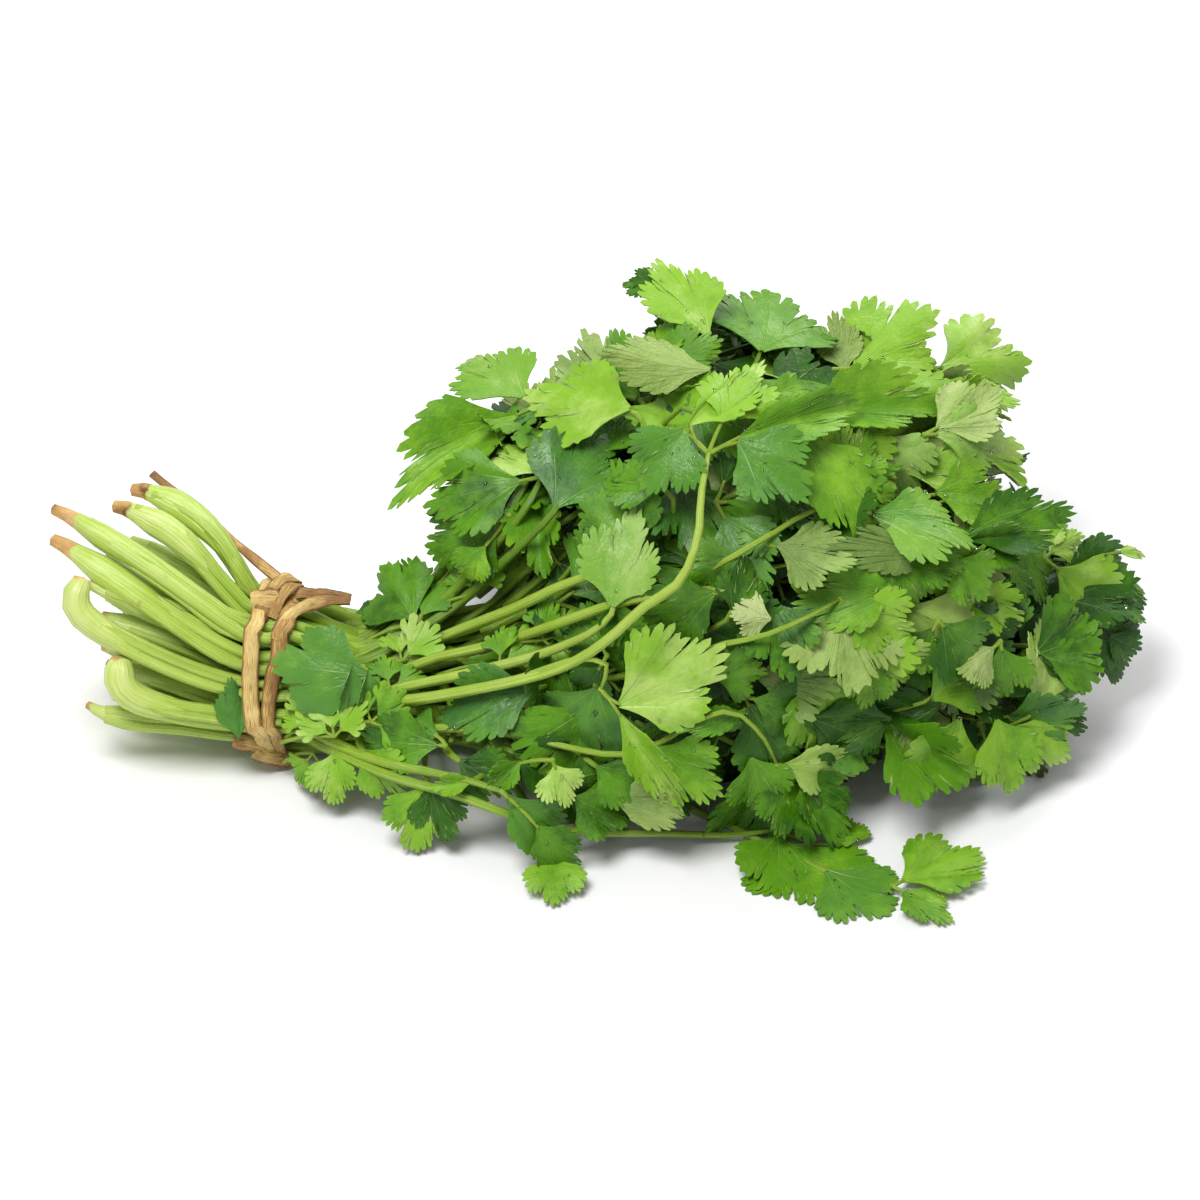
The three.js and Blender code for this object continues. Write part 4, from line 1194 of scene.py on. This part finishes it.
def make_side_stalks(leaf, patterns):
    """The side stalk that carries a leaf, where it has one, and its leaflets' own short stalks."""
    parts = []
    single = len(leaf["leaflets"]) == 1
    if leaf["branch"]:
        rest = run_on(leaf) if single else []
        path = smooth_path(list(stalk_path(leaf["slot"], leaf, True)[::2]) + rest, 12)
        parts.append(make_tube(patterns["side"], 6, path, np.linspace(1.0, 0.7, 12), 0.4))
    for item in [] if single else leaf["leaflets"]:
        gap = item["base"] - leaf["fork"]
        end = item["base"] + item["heading"] * 1.5
        middle = leaf["fork"] + gap * 0.55 - item["normal"] * 0.08 * np.linalg.norm(gap)
        path = smooth_path([leaf["fork"] - unit(gap) * 0.6, middle, end], 6)
        parts.append(make_tube(patterns["stalklet"], 6, path, np.linspace(0.72, 0.45, 6), 0.55))
    return parts


def build_plant(index, patterns):
    """One plant's crown, stalks and stalklets as one piece."""
    planned = plan()
    draw = random.Random(500 + index)
    axis = smooth_path(crown_line(planned["plants"], index), CROWN_STATIONS)
    parts = [make_crown(index, axis, patterns, draw)]
    for slot in planned["slots"]:
        if slot["plant"] == index:
            parts.append(make_stalk(index, slot, axis, patterns, draw))
    parts += make_cut_stalks(index, axis, patterns)
    for leaf in planned["leaves"]:
        if leaf["plant"] == index:
            parts += make_side_stalks(leaf, patterns)
    piece = join_pieces(parts, f"stalks_{index + 1:02d}")
    piece.data.materials.append(materials()["stem"])
    bpy.ops.object.shade_smooth()
    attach(piece, "root")
    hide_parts(f"stem_{index + 1:02d}")


def choose_pattern(patterns, layer, form, draw):
    """The flat leaflet that a leaf of this layer and form is shaped from."""
    if layer in ("inner", "core"):
        return patterns["coarse"][draw.randrange(3)]
    if layer in ("far", "front"):
        return patterns["mid"][draw.randrange(5)]
    if "d" in form:
        return patterns["deep"][draw.randrange(3)]
    if "s" in form:
        return patterns["smooth"][0]
    return (patterns["full"] + patterns["deep"][:1])[draw.randrange(7)]


def build_leaves(index, patterns, sizes):
    """All of one plant's leaflets as one piece."""
    draw = random.Random(900 + index)
    blades = []
    for leaf in plan()["leaves"]:
        for item in leaf["leaflets"] if leaf["plant"] == index else []:
            pattern = choose_pattern(patterns, leaf["layer"], item["form"], draw)
            blades.append(lay_leaflet(pattern, item, draw, sizes.leaflet, 0.95))
            if leaf["layer"] == "hand":
                note_drops(blades[-1], item["form"], draw)
    if not blades:
        raise RuntimeError(f"plant {index + 1} has no leaf")
    piece = finish_blades(blades, f"leaves_{index + 1:02d}", sizes.blade)
    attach(piece, "root")
    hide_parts(f"leaf_spray_{index + 1:02d}")


# ---------------------------------------------------------------- straw tie and young leaves


# Places of each strap of the tie as turn (0 on top, 0.25 on the near side, 0.5 below) and x
STRAPS = {
    "left": [(0.0, -2.6), (0.0625, -3.6), (0.12, -4.6), (0.165, -5.2), (0.18, -5.4), (0.21, -4.4),
             (0.25, -3.4), (0.3, -2.4), (0.36, -1.0), (0.45, 1.0), (0.55, 2.0), (0.75, 0.0), (0.95, -1.0),
             (1.0, -2.6)],
    "right": [(0.0, 5.6), (0.03, 4.8), (0.0625, 4.1), (0.12, 3.2), (0.15, 2.4), (0.17, 0.9), (0.18, -0.2),
              (0.21, -0.4), (0.25, -0.2), (0.3, 1.4), (0.36, 2.2), (0.5, 1.0), (0.6, -2.0), (0.75, -3.0),
              (0.9, 2.5), (0.97, 5.0), (1.0, 5.6)],
}
STRAP_WIDTHS = {"left": [3.2, 3.4, 3.7, 4.2, 4.2, 4.0, 4.2, 4.2, 3.6, 3.4],
                "right": [4.2, 3.6, 2.6, 3.0, 3.4, 3.8, 4.0, 4.0, 4.2]}
# From the middle of a plant at the tie to the outside of its stalks
STALK_REACH = 3.85
RIBBON_CELLS = 96
RIBBON_LANES = 6
# Parts of a turn either side of a place over which a strap rounds off the corners between plants
STRAP_STEPS = (-0.036, -0.024, -0.012, 0.0, 0.012, 0.024, 0.036)


def bundle_place(turn, gap):
    """A place on the outline of all the stalks at the tie. Turn 0 is on top, 0.25 on the near side."""
    angle = math.pi / 2 + 2 * math.pi * turn
    across, up = math.cos(angle), math.sin(angle)
    outer = max(plan()["plants"], key=lambda plant: plant["y"] * across + plant["z"] * up)
    grown = STALK_REACH + gap
    return np.array([0.0, outer["y"] + grown * across, max(outer["z"] + grown * up, 0.6)])


def make_ribbon(pattern, path, widths, flats, aged=0.0, ragged=1.0):
    """A flat strap along a path. Flats say which way its face looks at each place."""
    piece = copy_pattern(pattern)
    mesh = piece.data
    places = read_places(mesh)
    path = smooth_path(path, RIBBON_CELLS + 1)
    spread = np.linspace(0, 1, RIBBON_CELLS + 1)
    width = np.interp(spread, np.linspace(0, 1, len(widths)), widths)
    flats = np.array(flats, float)
    faces = np.stack([np.interp(spread, np.linspace(0, 1, len(flats)), flats[:, k]) for k in range(3)], 1)
    tangents = np.gradient(path, axis=0)
    tangents /= np.linalg.norm(tangents, axis=1, keepdims=True)
    beside = np.cross(faces, tangents)
    beside /= np.linalg.norm(beside, axis=1, keepdims=True)
    faces = np.cross(tangents, beside)
    column = cells_of(places[:, 0], RIBBON_CELLS)
    lane = places[:, 1] * 2
    crown = 0.30 * (1 - np.abs(lane) ** 2.2) + 0.09 * np.sin(lane * 9 + column * 0.12)
    edge = 1 + ragged * (0.04 * np.sin(column * 0.7 + lane * 2) + 0.04 * np.sin(column * 0.23))
    placed = path[column] + beside[column] * (lane * width[column] / 2 * edge)[:, None]
    placed += faces[column] * (crown * width[column] * 0.5)[:, None]
    placed[:, 2] = np.maximum(placed[:, 2], 1.05)
    write_places(mesh, placed)
    length = float(np.sum(np.linalg.norm(np.diff(path, axis=0), axis=1)))
    along = column / RIBBON_CELLS
    write_uvs(mesh, np.stack([along * length / 10, lane / 2], 1))
    ages = np.interp(along, np.linspace(0, 1, np.size(aged)), np.atleast_1d(aged))
    mesh.attributes["aged"].data.foreach_set("value", ages)
    return piece


def thicken(piece, thickness):
    """Gives the straps a wall of this thickness."""
    select_only(piece)
    wall = piece.modifiers.new("wall", "SOLIDIFY")
    wall.thickness = thickness
    wall.offset = 1
    bpy.ops.object.modifier_apply(modifier="wall")
    bpy.ops.object.shade_smooth_by_angle(angle=math.radians(60))


def strap_round(name, gap):
    """Path, widths and facings of one turn of the strap round the stalks."""
    path, flats = [], []
    table = np.array(STRAPS[name])
    for turn in np.arange(49) / 48:
        slack = gap + 0.3 * math.sin(19 * turn)
        near = [bundle_place(turn + step, slack + 12 * abs(step)) for step in STRAP_STEPS]
        place = np.mean(near, axis=0)
        place[0] = np.interp(turn, table[:, 0], table[:, 1])
        path.append(place)
        angle = math.pi / 2 + 2 * math.pi * turn
        flats.append((0.12 * math.sin(9 * turn), math.cos(angle), math.sin(angle)))
    return path, STRAP_WIDTHS[name], flats


def knot_strands(top):
    """The strands of the knot: path, widths, facings, how aged each is along it and how ragged."""
    faced, leaning, level, over = (0, -0.79, 0.62), (0, -0.5, 0.86), (0, -0.3, 0.95), (0, 0.4, 0.9)
    return [
        # the square turn of the knot and the strand folded under it
        ([(-4.6, -1.0, top + 1.8), (-1.4, -1.4, top + 2.9), (1.8, -0.6, top + 2.2)], [4.6, 5.2, 4.6],
         [faced, faced, faced], 0.0, 1.0),
        ([(-3.0, -5.5, top - 1.4), (-1.8, -3.0, top + 0.8), (0.5, 1.0, top + 1.2)], [3.6, 4.0, 3.6],
         [(-0.2, -0.9, 0.4), faced, leaning], 0.5, 1.0),
        # two strands that cross over its top
        ([(-1.0, 0.6, top + 1.6), (1.6, 3.4, top + 4.0), (4.2, 6.2, top + 3.9), (7.2, 8.0, top + 0.6)],
         [2.2, 2.9, 2.9, 2.2], [faced, leaning, level, over], 0.3, 1.0),
        ([(0.6, -5.0, top - 0.8), (2.4, -1.8, top + 2.2), (5.0, 2.2, top + 3.6), (7.8, 5.8, top + 1.2)],
         [2.2, 2.8, 2.8, 2.0], [faced, leaning, level, over], 0.3, 1.0),
        # the short end on the right, dark at its tip
        ([(2.0, 1.4, top + 1.8), (7.0, 2.6, top + 1.6), (13.0, 3.0, top + 0.9), (21.5, 2.2, top + 0.3)],
         [2.8, 3.0, 2.6, 2.0], [faced, leaning, leaning, level], (0.2, 0.35, 0.55, 1.0), 1.0),
        ([(1.6, -12.4, top - 2.6), (3.6, -8.6, top + 0.1), (8.0, -3.6, top + 1.5),
          (14.5, -0.4, top + 1.3), (21.2, 0.2, top + 0.6)], [2.4, 3.0, 3.2, 2.8, 2.0],
         [(0, -0.9, 0.4), faced, faced, leaning, level], (0.3, 0.1, 0.1, 0.4, 0.9), 1.0),
        # the stub and the strap under the bunch
        ([(-2.5, -20.2, 10.6), (-6.4, -21.2, 11.8), (-10.0, -20.6, 12.2)], [3.4, 4.4, 3.8],
         [faced, faced, faced], (0.1, 0.15, 0.35), 1.0),
        ([(-4.6, -21.4, 9.8), (-1.6, -20.2, 7.0), (2.6, -17.6, 3.6), (7.2, -15.4, 1.6)],
         [4.0, 4.4, 4.2, 3.0], [(0, -0.9, 0.4), (0, -0.8, 0.6), leaning], 0.1, 1.0),
        # the long straight end towards the roots
        ([(3.4, 6.0, top + 2.2), (-8.0, 18.0, top + 4.5), (-21.0, 31.0, top + 8.0),
          (-33.7, 42.0, top + 12.0)], [2.3, 2.0, 1.9, 2.1], [leaning, leaning], (0.4, 0.4, 0.45, 0.8), 0.3),
    ]


# The small feathery leaves near the tie, laid as the leaves above are
YOUNG_LEAVES = [
    (14, 0, 5, [(95, 2, 98, 11, 0.8, 0.8, "f"), (40, 2, 40, 8, 0.8, 0.75, "f"),
                (150, 2, 150, 8, 0.8, 0.7, "f")]),
    (22, -2, 7, [(100, 2, 100, 12, 0.8, 0.80, "f"), (45, 2, 45, 11, 0.8, 0.80, "f"),
                 (150, 2, 150, 10, 0.8, 0.75, "f")]),
    (30, 1, 5, [(40, 2, 42, 11, 0.8, 0.6, "f"), (-20, 2, -20, 9, 0.8, 0.55, "f"),
                (110, 2, 115, 7, 0.8, 0.6, "f")]),
    (33, 10, 2, [(100, 2, 100, 8, 0.9, 0.5, "f"), (30, 2, 20, 9, 0.9, 0.5, "f"),
                 (160, 2, 160, 8, 0.9, 0.45, "f")]),
    (36, 17, 2, [(45, 2, 42, 12, 0.9, 0.78, "f"), (100, 2, 105, 8, 0.9, 0.7, "f")]),
    (62, 17, 1, [(30, 2, 30, 11, 0.9, 0.6, "f"), (90, 2, 90, 9, 0.9, 0.55, "f")]),
    (74, 24, 1, [(20, 2, 20, 11, 0.9, 0.6, "f"), (100, 2, 90, 10, 0.9, 0.5, "f"),
                 (-40, 2, -40, 9, 0.9, 0.5, "f")]),
    (53, 36, -3, [(60, 2, 60, 10, 0.9, 0.65, "f"), (120, 2, 130, 9, 0.9, 0.6, "f")]),
    (13, -6, 2, [(-60, 2, -60, 10, 0.9, 0.7, "f"), (-130, 2, -130, 9, 0.9, 0.6, "f")]),
    (40, 27, 2, [(150, 1, 122, 19, 0.85, 0.38, ""), (60, 2, 58, 13, 0.7, 0.45, "")]),
    (20, 28, 2, [(20, 2, 12, 13, 0.7, 0.25, ""), (150, 2, 165, 12, 0.8, 0.3, "")]),
]


# The small leaf caught under the left edge of the tie, the broad leaf beside it and its rolled pair,
# each as its base, heading, facing, length, width for its length, tone and form
LOOSE_LEAVES = [
    ((-8.2, -25.8, 16.4), (-0.16, 0.49, 0.86), (-0.1, -0.87, 0.49), 17.0, 0.44, 0.38, "qb"),
    ((27.5, -25.6, 38.6), (-1.0, 0.10, 0.06), (0.0, -0.74, 0.67), 27.5, 0.70, 0.50, "qb"),
    ((23.0, -27.3, 43.6), (-0.25, -0.25, -0.9), (0.5, -0.8, 0.2), 14.0, 0.50, 0.42, "vb"),
    ((27.0, -27.8, 42.6), (-0.10, -0.25, -0.9), (0.6, -0.7, 0.2), 14.0, 0.45, 0.46, "vb"),
]


def lay_young_leaves():
    """The small feathery leaves and the broad one beside the tie, as planned leaves."""
    draw = random.Random(77)
    leaves = [plan_hand_leaf(row, draw) for row in YOUNG_LEAVES]
    for base, heading, normal, length, width, tone, form in LOOSE_LEAVES:
        leaves.append({"fork": np.array(base), "leaflets": [{
            "base": np.array(base), "heading": unit(np.array(heading)), "normal": unit(np.array(normal)),
            "length": length, "width": width, "tone": tone, "form": form,
        }]})
    return leaves


def remove_patterns(groups):
    """Removes the patterns once their copies are made."""
    for patterns in groups.values():
        for pattern in patterns:
            mesh = pattern.data
            bpy.data.objects.remove(pattern)
            bpy.data.meshes.remove(mesh)


# Place, facing and size of each water drop, noted as the leaves are laid
DROP_PLACES = []
# How far up a place on a leaf has to face to hold a drop
DROP_FACING = 0.25


def note_drops(piece, form, draw):
    """Remembers a few places on a leaflet's upper face for water drops."""
    if "u" in form:
        return
    mesh = piece.data
    mesh.update()
    for _ in range(5 if "w" in form else 3):
        vertex = mesh.vertices[draw.randrange(len(mesh.vertices))]
        if vertex.normal.z > DROP_FACING:
            DROP_PLACES.append((np.array(vertex.co), np.array(vertex.normal), draw.uniform(0.55, 1.25)))


# ---------------------------------------------------------------- settings


def colour_property(name, description, default):
    """A colour that the sidebar shows as a swatch."""
    return bpy.props.FloatVectorProperty(
        name=name, description=description, default=default, size=3, min=0.0, max=1.0, subtype="COLOR")


class CorianderSizes(bpy.types.PropertyGroup):
    """Sizes a user would change"""

    blade: bpy.props.FloatProperty(
        name="Blade thickness", description="Thickness of a leaf", default=0.0003, min=0.0001, max=0.001,
        precision=5, unit="LENGTH")
    leaflet: bpy.props.FloatProperty(
        name="Leaflet size", description="Size of every leaflet against its planned one", default=1.0,
        min=0.6, max=1.1, subtype="FACTOR")
    stalk: bpy.props.FloatProperty(
        name="Stalk thickness", description="Thickness of every stalk against its planned one", default=1.0,
        min=0.6, max=1.1, subtype="FACTOR")
    straw: bpy.props.FloatProperty(
        name="Straw thickness", description="Thickness of the straw strap", default=0.0007, min=0.0004,
        max=0.002, precision=5, unit="LENGTH")
    drop: bpy.props.FloatProperty(
        name="Drop radius", description="Radius of a middling water drop", default=0.00055, min=0.0002,
        max=0.0015, precision=5, unit="LENGTH")


class CorianderColours(bpy.types.PropertyGroup):
    """Colours a user would change"""

    leaf_deep: colour_property("Leaf, deep", "Darkest green of the upper faces", (0.006, 0.034, 0.001))
    leaf_green: colour_property("Leaf, green", "Middle green of the upper faces", (0.092, 0.258, 0.006))
    leaf_fresh: colour_property("Leaf, fresh", "Yellow-green of the youngest leaves", (0.375, 0.545, 0.115))
    under_dark: colour_property("Underside, dark", "Darkest green of the undersides", (0.070, 0.130, 0.025))
    under_pale: colour_property("Underside, pale", "Pale grey-green of the undersides", (0.500, 0.590, 0.240))
    stem_green: colour_property("Stalk, green", "Green of the stalks among the leaves", (0.275, 0.435, 0.028))
    stem_pale: colour_property("Stalk, pale", "Pale green of the stalks by the roots", (0.560, 0.650, 0.200))
    root_brown: colour_property("Root, brown", "Dark brown of the cut roots", (0.150, 0.060, 0.018))
    root_orange: colour_property("Root, orange", "Orange-brown of the cut roots", (0.520, 0.300, 0.100))
    straw_brown: colour_property("Straw, brown", "Brown of the straw's aged parts", (0.100, 0.045, 0.016))
    straw_tan: colour_property("Straw, tan", "Tan of the straw", (0.660, 0.460, 0.150))
    straw_pale: colour_property("Straw, pale", "Pale tan of the straw's clean faces", (0.900, 0.730, 0.320))


# ---------------------------------------------------------------- steps


class STEM_OT_add(bpy.types.Operator):
    """Adds the plants' crowns and stalks, from the root ends through the tie to every leaflet"""

    bl_idname = "coriander.add_stems"
    bl_label = "Add stems"

    def execute(self, context):
        patterns = {
            "crown": make_tube_pattern(14, CROWN_STATIONS), "stalk": make_tube_pattern(10, STALK_STATIONS),
            "side": make_tube_pattern(6, 12), "stalklet": make_tube_pattern(6, 6),
        }
        for index in range(len(plan()["plants"])):
            build_plant(index, patterns)
        remove_patterns({name: [pattern] for name, pattern in patterns.items()})
        return {"FINISHED"}


class LEAF_OT_add(bpy.types.Operator):
    """Adds the leaflets of every plant"""

    bl_idname = "coriander.add_leaves"
    bl_label = "Add leaves"

    def execute(self, context):
        draw = random.Random(3)
        fine = [0.05, 0.24, 0.46, 0.68, 0.87, 1.0]
        even = [0.05, 0.38, 0.72, 1.0]
        coarse = [0.06, 0.42, 0.76, 1.0]
        patterns = {
            "full": [make_leaflet_pattern(f"full_{k}", 8, fine, draw) for k in range(6)],
            "deep": [make_leaflet_pattern(f"deep_{k}", 8, fine, draw, "deep") for k in range(3)],
            "smooth": [make_leaflet_pattern("smooth", 8, fine, draw, "plain")],
            "mid": [make_leaflet_pattern(f"mid_{k}", 7, even, draw, "full", 3) for k in range(5)],
            "coarse": [make_leaflet_pattern(f"coarse_{k}", 5, coarse, draw, "full", 3) for k in range(3)],
        }
        for index in range(len(plan()["plants"])):
            build_leaves(index, patterns, context.scene.coriander_sizes)
        remove_patterns(patterns)
        return {"FINISHED"}


class YOUNG_OT_add(bpy.types.Operator):
    """Adds the young feathery leaves and the broad leaf beside the tie"""

    bl_idname = "coriander.add_young_leaves"
    bl_label = "Add young leaves"

    def execute(self, context):
        draw = random.Random(8)
        fine = [0.05, 0.3, 0.55, 0.78, 0.92, 1.0]
        patterns = {
            "fern": [make_leaflet_pattern(f"fern_{k}", 3, fine, draw, "fern") for k in range(3)],
            "broad": [make_leaflet_pattern("broad", 7, fine, draw, "plain")],
            "stalklet": [make_tube_pattern(6, 6)],
        }
        blades, stalks = [], []

        def add_stalk(line, thick, thin):
            """A thin stalk along the line."""
            path, girths = smooth_path(line, 6), np.linspace(thick, thin, 6)
            stalks.append(make_tube(patterns["stalklet"][0], 6, path, girths, 0.6))

        for leaf in lay_young_leaves():
            fork = leaf["fork"]
            stalked = "layer" in leaf
            if stalked:
                near_tie = max(fork[0] - 17, 3.0 if fork[0] > 0 else -4.0)
                start = np.array([near_tie, fork[1] * 0.75, max(fork[2] - 9, 3.0)])
                middle = (start + fork) / 2 + np.array([0, 0, 1.2])
                add_stalk([start, middle, fork + np.array([0.05, 0.03, 0.02])], 0.6, 0.45)
            for item in leaf["leaflets"]:
                pattern = patterns["fern"][draw.randrange(3)] if "f" in item["form"] else patterns["broad"][0]
                blades.append(lay_leaflet(pattern, item, draw))
                if stalked:
                    add_stalk([fork, item["base"], item["base"] + item["heading"] * 1.2], 0.45, 0.3)
        piece = finish_blades(blades, "tie_leaves", context.scene.coriander_sizes.blade)
        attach(piece, "root")
        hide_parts("tie_leaf")
        stems = join_pieces(stalks, "young_stalks")
        stems.data.materials.append(materials()["stem"])
        bpy.ops.object.shade_smooth()
        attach(stems, "root")
        remove_patterns(patterns)
        return {"FINISHED"}


class TIE_OT_add(bpy.types.Operator):
    """Adds the straw tie: two straps round the stalks, the knot and its loose ends"""

    bl_idname = "coriander.add_tie"
    bl_label = "Add straw tie"

    def execute(self, context):
        pattern = add_sheet("ribbon_pattern", RIBBON_CELLS, RIBBON_LANES, ("aged",))
        parts = [
            make_ribbon(pattern, *strap_round(name, gap), aged, 0.4)
            for name, gap, aged in (("left", 0.7, 0.0), ("right", 0.5, 0.35))
        ]
        for path, widths, flats, aged, ragged in knot_strands(bundle_place(0.0, 0.5)[2]):
            parts.append(make_ribbon(pattern, path, widths, flats, aged, ragged))
        piece = join_pieces(parts, "straw_tie_piece")
        thicken(piece, context.scene.coriander_sizes.straw)
        piece.data.materials.append(materials()["straw"])
        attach(piece, "root")
        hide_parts("straw_tie")
        remove_patterns({"ribbon": [pattern]})
        return {"FINISHED"}


class DROP_OT_add(bpy.types.Operator):
    """Adds small water drops on the leaves' upper faces"""

    bl_idname = "coriander.add_drops"
    bl_label = "Add water drops"

    def execute(self, context):
        bpy.ops.object.select_all(action="DESELECT")
        bpy.ops.mesh.primitive_uv_sphere_add(segments=8, ring_count=6, radius=1)
        pattern = context.object
        ball = read_places(pattern.data)
        radius = context.scene.coriander_sizes.drop
        parts = []
        for place, normal, share in DROP_PLACES:
            drop = copy_pattern(pattern)
            side = unit(np.cross(normal, [0.3, 1.0, 0.2]))
            flat = np.stack([side, np.cross(normal, side), normal * 0.55])
            laid = place + normal * radius * share * 0.2 + (ball * radius * share) @ flat
            drop.data.vertices.foreach_set("co", laid.ravel())
            parts.append(drop)
        remove_patterns({"drop": [pattern]})
        piece = join_pieces(parts, "water_drops")
        material, _tree, shader = new_material("water")
        shader.inputs["Base Color"].default_value = (0.97, 1.0, 0.97, 1)
        shader.inputs["Roughness"].default_value = 0.03
        shader.inputs["IOR"].default_value = 1.33
        shader.inputs["Transmission Weight"].default_value = 1.0
        piece.data.materials.append(material)
        bpy.ops.object.shade_smooth()
        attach(piece, "root")
        return {"FINISHED"}


def lay_floor():
    """A plain pale floor under the bunch."""
    bpy.ops.object.select_all(action="DESELECT")
    bpy.ops.mesh.primitive_plane_add(size=6, location=(0, 0, 0))
    floor = bpy.context.object
    floor.name = "floor"
    material, _tree, shader = new_material("pale_floor")
    shader.inputs["Base Color"].default_value = (0.86, 0.86, 0.86, 1)
    shader.inputs["Roughness"].default_value = 0.9
    floor.data.materials.append(material)


def light_room(scene):
    """Even light from all sides and two broad, soft lamps."""
    world = bpy.data.worlds.new("soft_room")
    scene.world = world
    world.use_nodes = True
    background = world.node_tree.nodes["Background"]
    background.inputs["Color"].default_value = (1, 1, 1, 1)
    background.inputs["Strength"].default_value = ROOM_LIGHT
    scene.view_settings.view_transform = "Standard"
    for name, (place, width, power) in LAMPS.items():
        lamp = bpy.data.lights.new(name, "AREA")
        lamp.shape = "DISK"
        lamp.size = width
        lamp.energy = power
        holder = bpy.data.objects.new(name, lamp)
        holder.location = place
        holder.rotation_euler = (LAMP_TARGET - holder.location).to_track_quat("-Z", "Y").to_euler()
        scene.collection.objects.link(holder)


def place_camera(scene):
    """The camera in front of the near side, looking down on the bunch."""
    camera = bpy.data.objects.new("camera", bpy.data.cameras.new("camera"))
    scene.collection.objects.link(camera)
    camera.location = CAMERA_TARGET + TO_VIEW * CAMERA_DISTANCE
    camera.rotation_euler = Vector(-TO_VIEW).to_track_quat("-Z", "Y").to_euler()
    camera.data.sensor_width = SENSOR_WIDTH
    camera.data.lens = SENSOR_WIDTH * CAMERA_DISTANCE / VIEW_WIDTH
    camera.data.clip_start = 0.05
    scene.camera = camera


class STAGE_OT_set(bpy.types.Operator):
    """Sets up the pale floor, the soft lights and the camera"""

    bl_idname = "coriander.set_stage"
    bl_label = "Set stage"

    def execute(self, context):
        lay_floor()
        light_room(context.scene)
        place_camera(context.scene)
        return {"FINISHED"}


class VIEW3D_PT_coriander(bpy.types.Panel):
    """Sizes, colours and steps of the coriander bunch"""

    bl_idname = "VIEW3D_PT_coriander"
    bl_label = "Coriander bunch"
    bl_space_type = "VIEW_3D"
    bl_region_type = "UI"
    bl_category = "Coriander"

    def draw(self, context):
        for heading, settings in (("Sizes", context.scene.coriander_sizes),
                                  ("Colours", context.scene.coriander_colours)):
            box = self.layout.box()
            box.label(text=heading)
            for name in settings.__annotations__:
                box.prop(settings, name)
        for step in STEPS:
            self.layout.operator(step.bl_idname)


# ---------------------------------------------------------------- registering and running


STEPS = [STAGE_OT_set, STEM_OT_add, LEAF_OT_add, YOUNG_OT_add, TIE_OT_add, DROP_OT_add]
CLASSES = [CorianderSizes, CorianderColours, *STEPS, VIEW3D_PT_coriander]


def register():
    """Registers the settings, the steps and the panel."""
    for kind in CLASSES:
        bpy.utils.register_class(kind)
    bpy.types.Scene.coriander_sizes = bpy.props.PointerProperty(type=CorianderSizes)
    bpy.types.Scene.coriander_colours = bpy.props.PointerProperty(type=CorianderColours)


def unregister():
    """Removes what register added."""
    del bpy.types.Scene.coriander_sizes
    del bpy.types.Scene.coriander_colours
    for kind in reversed(CLASSES):
        bpy.utils.unregister_class(kind)


def main():
    """Builds the whole bunch on its stage."""
    register()
    bpy.ops.coriander.set_stage()
    bpy.ops.coriander.add_stems()
    bpy.ops.coriander.add_leaves()
    bpy.ops.coriander.add_young_leaves()
    bpy.ops.coriander.add_tie()
    bpy.ops.coriander.add_drops()
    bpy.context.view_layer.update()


if __name__ == "__main__":
    main()
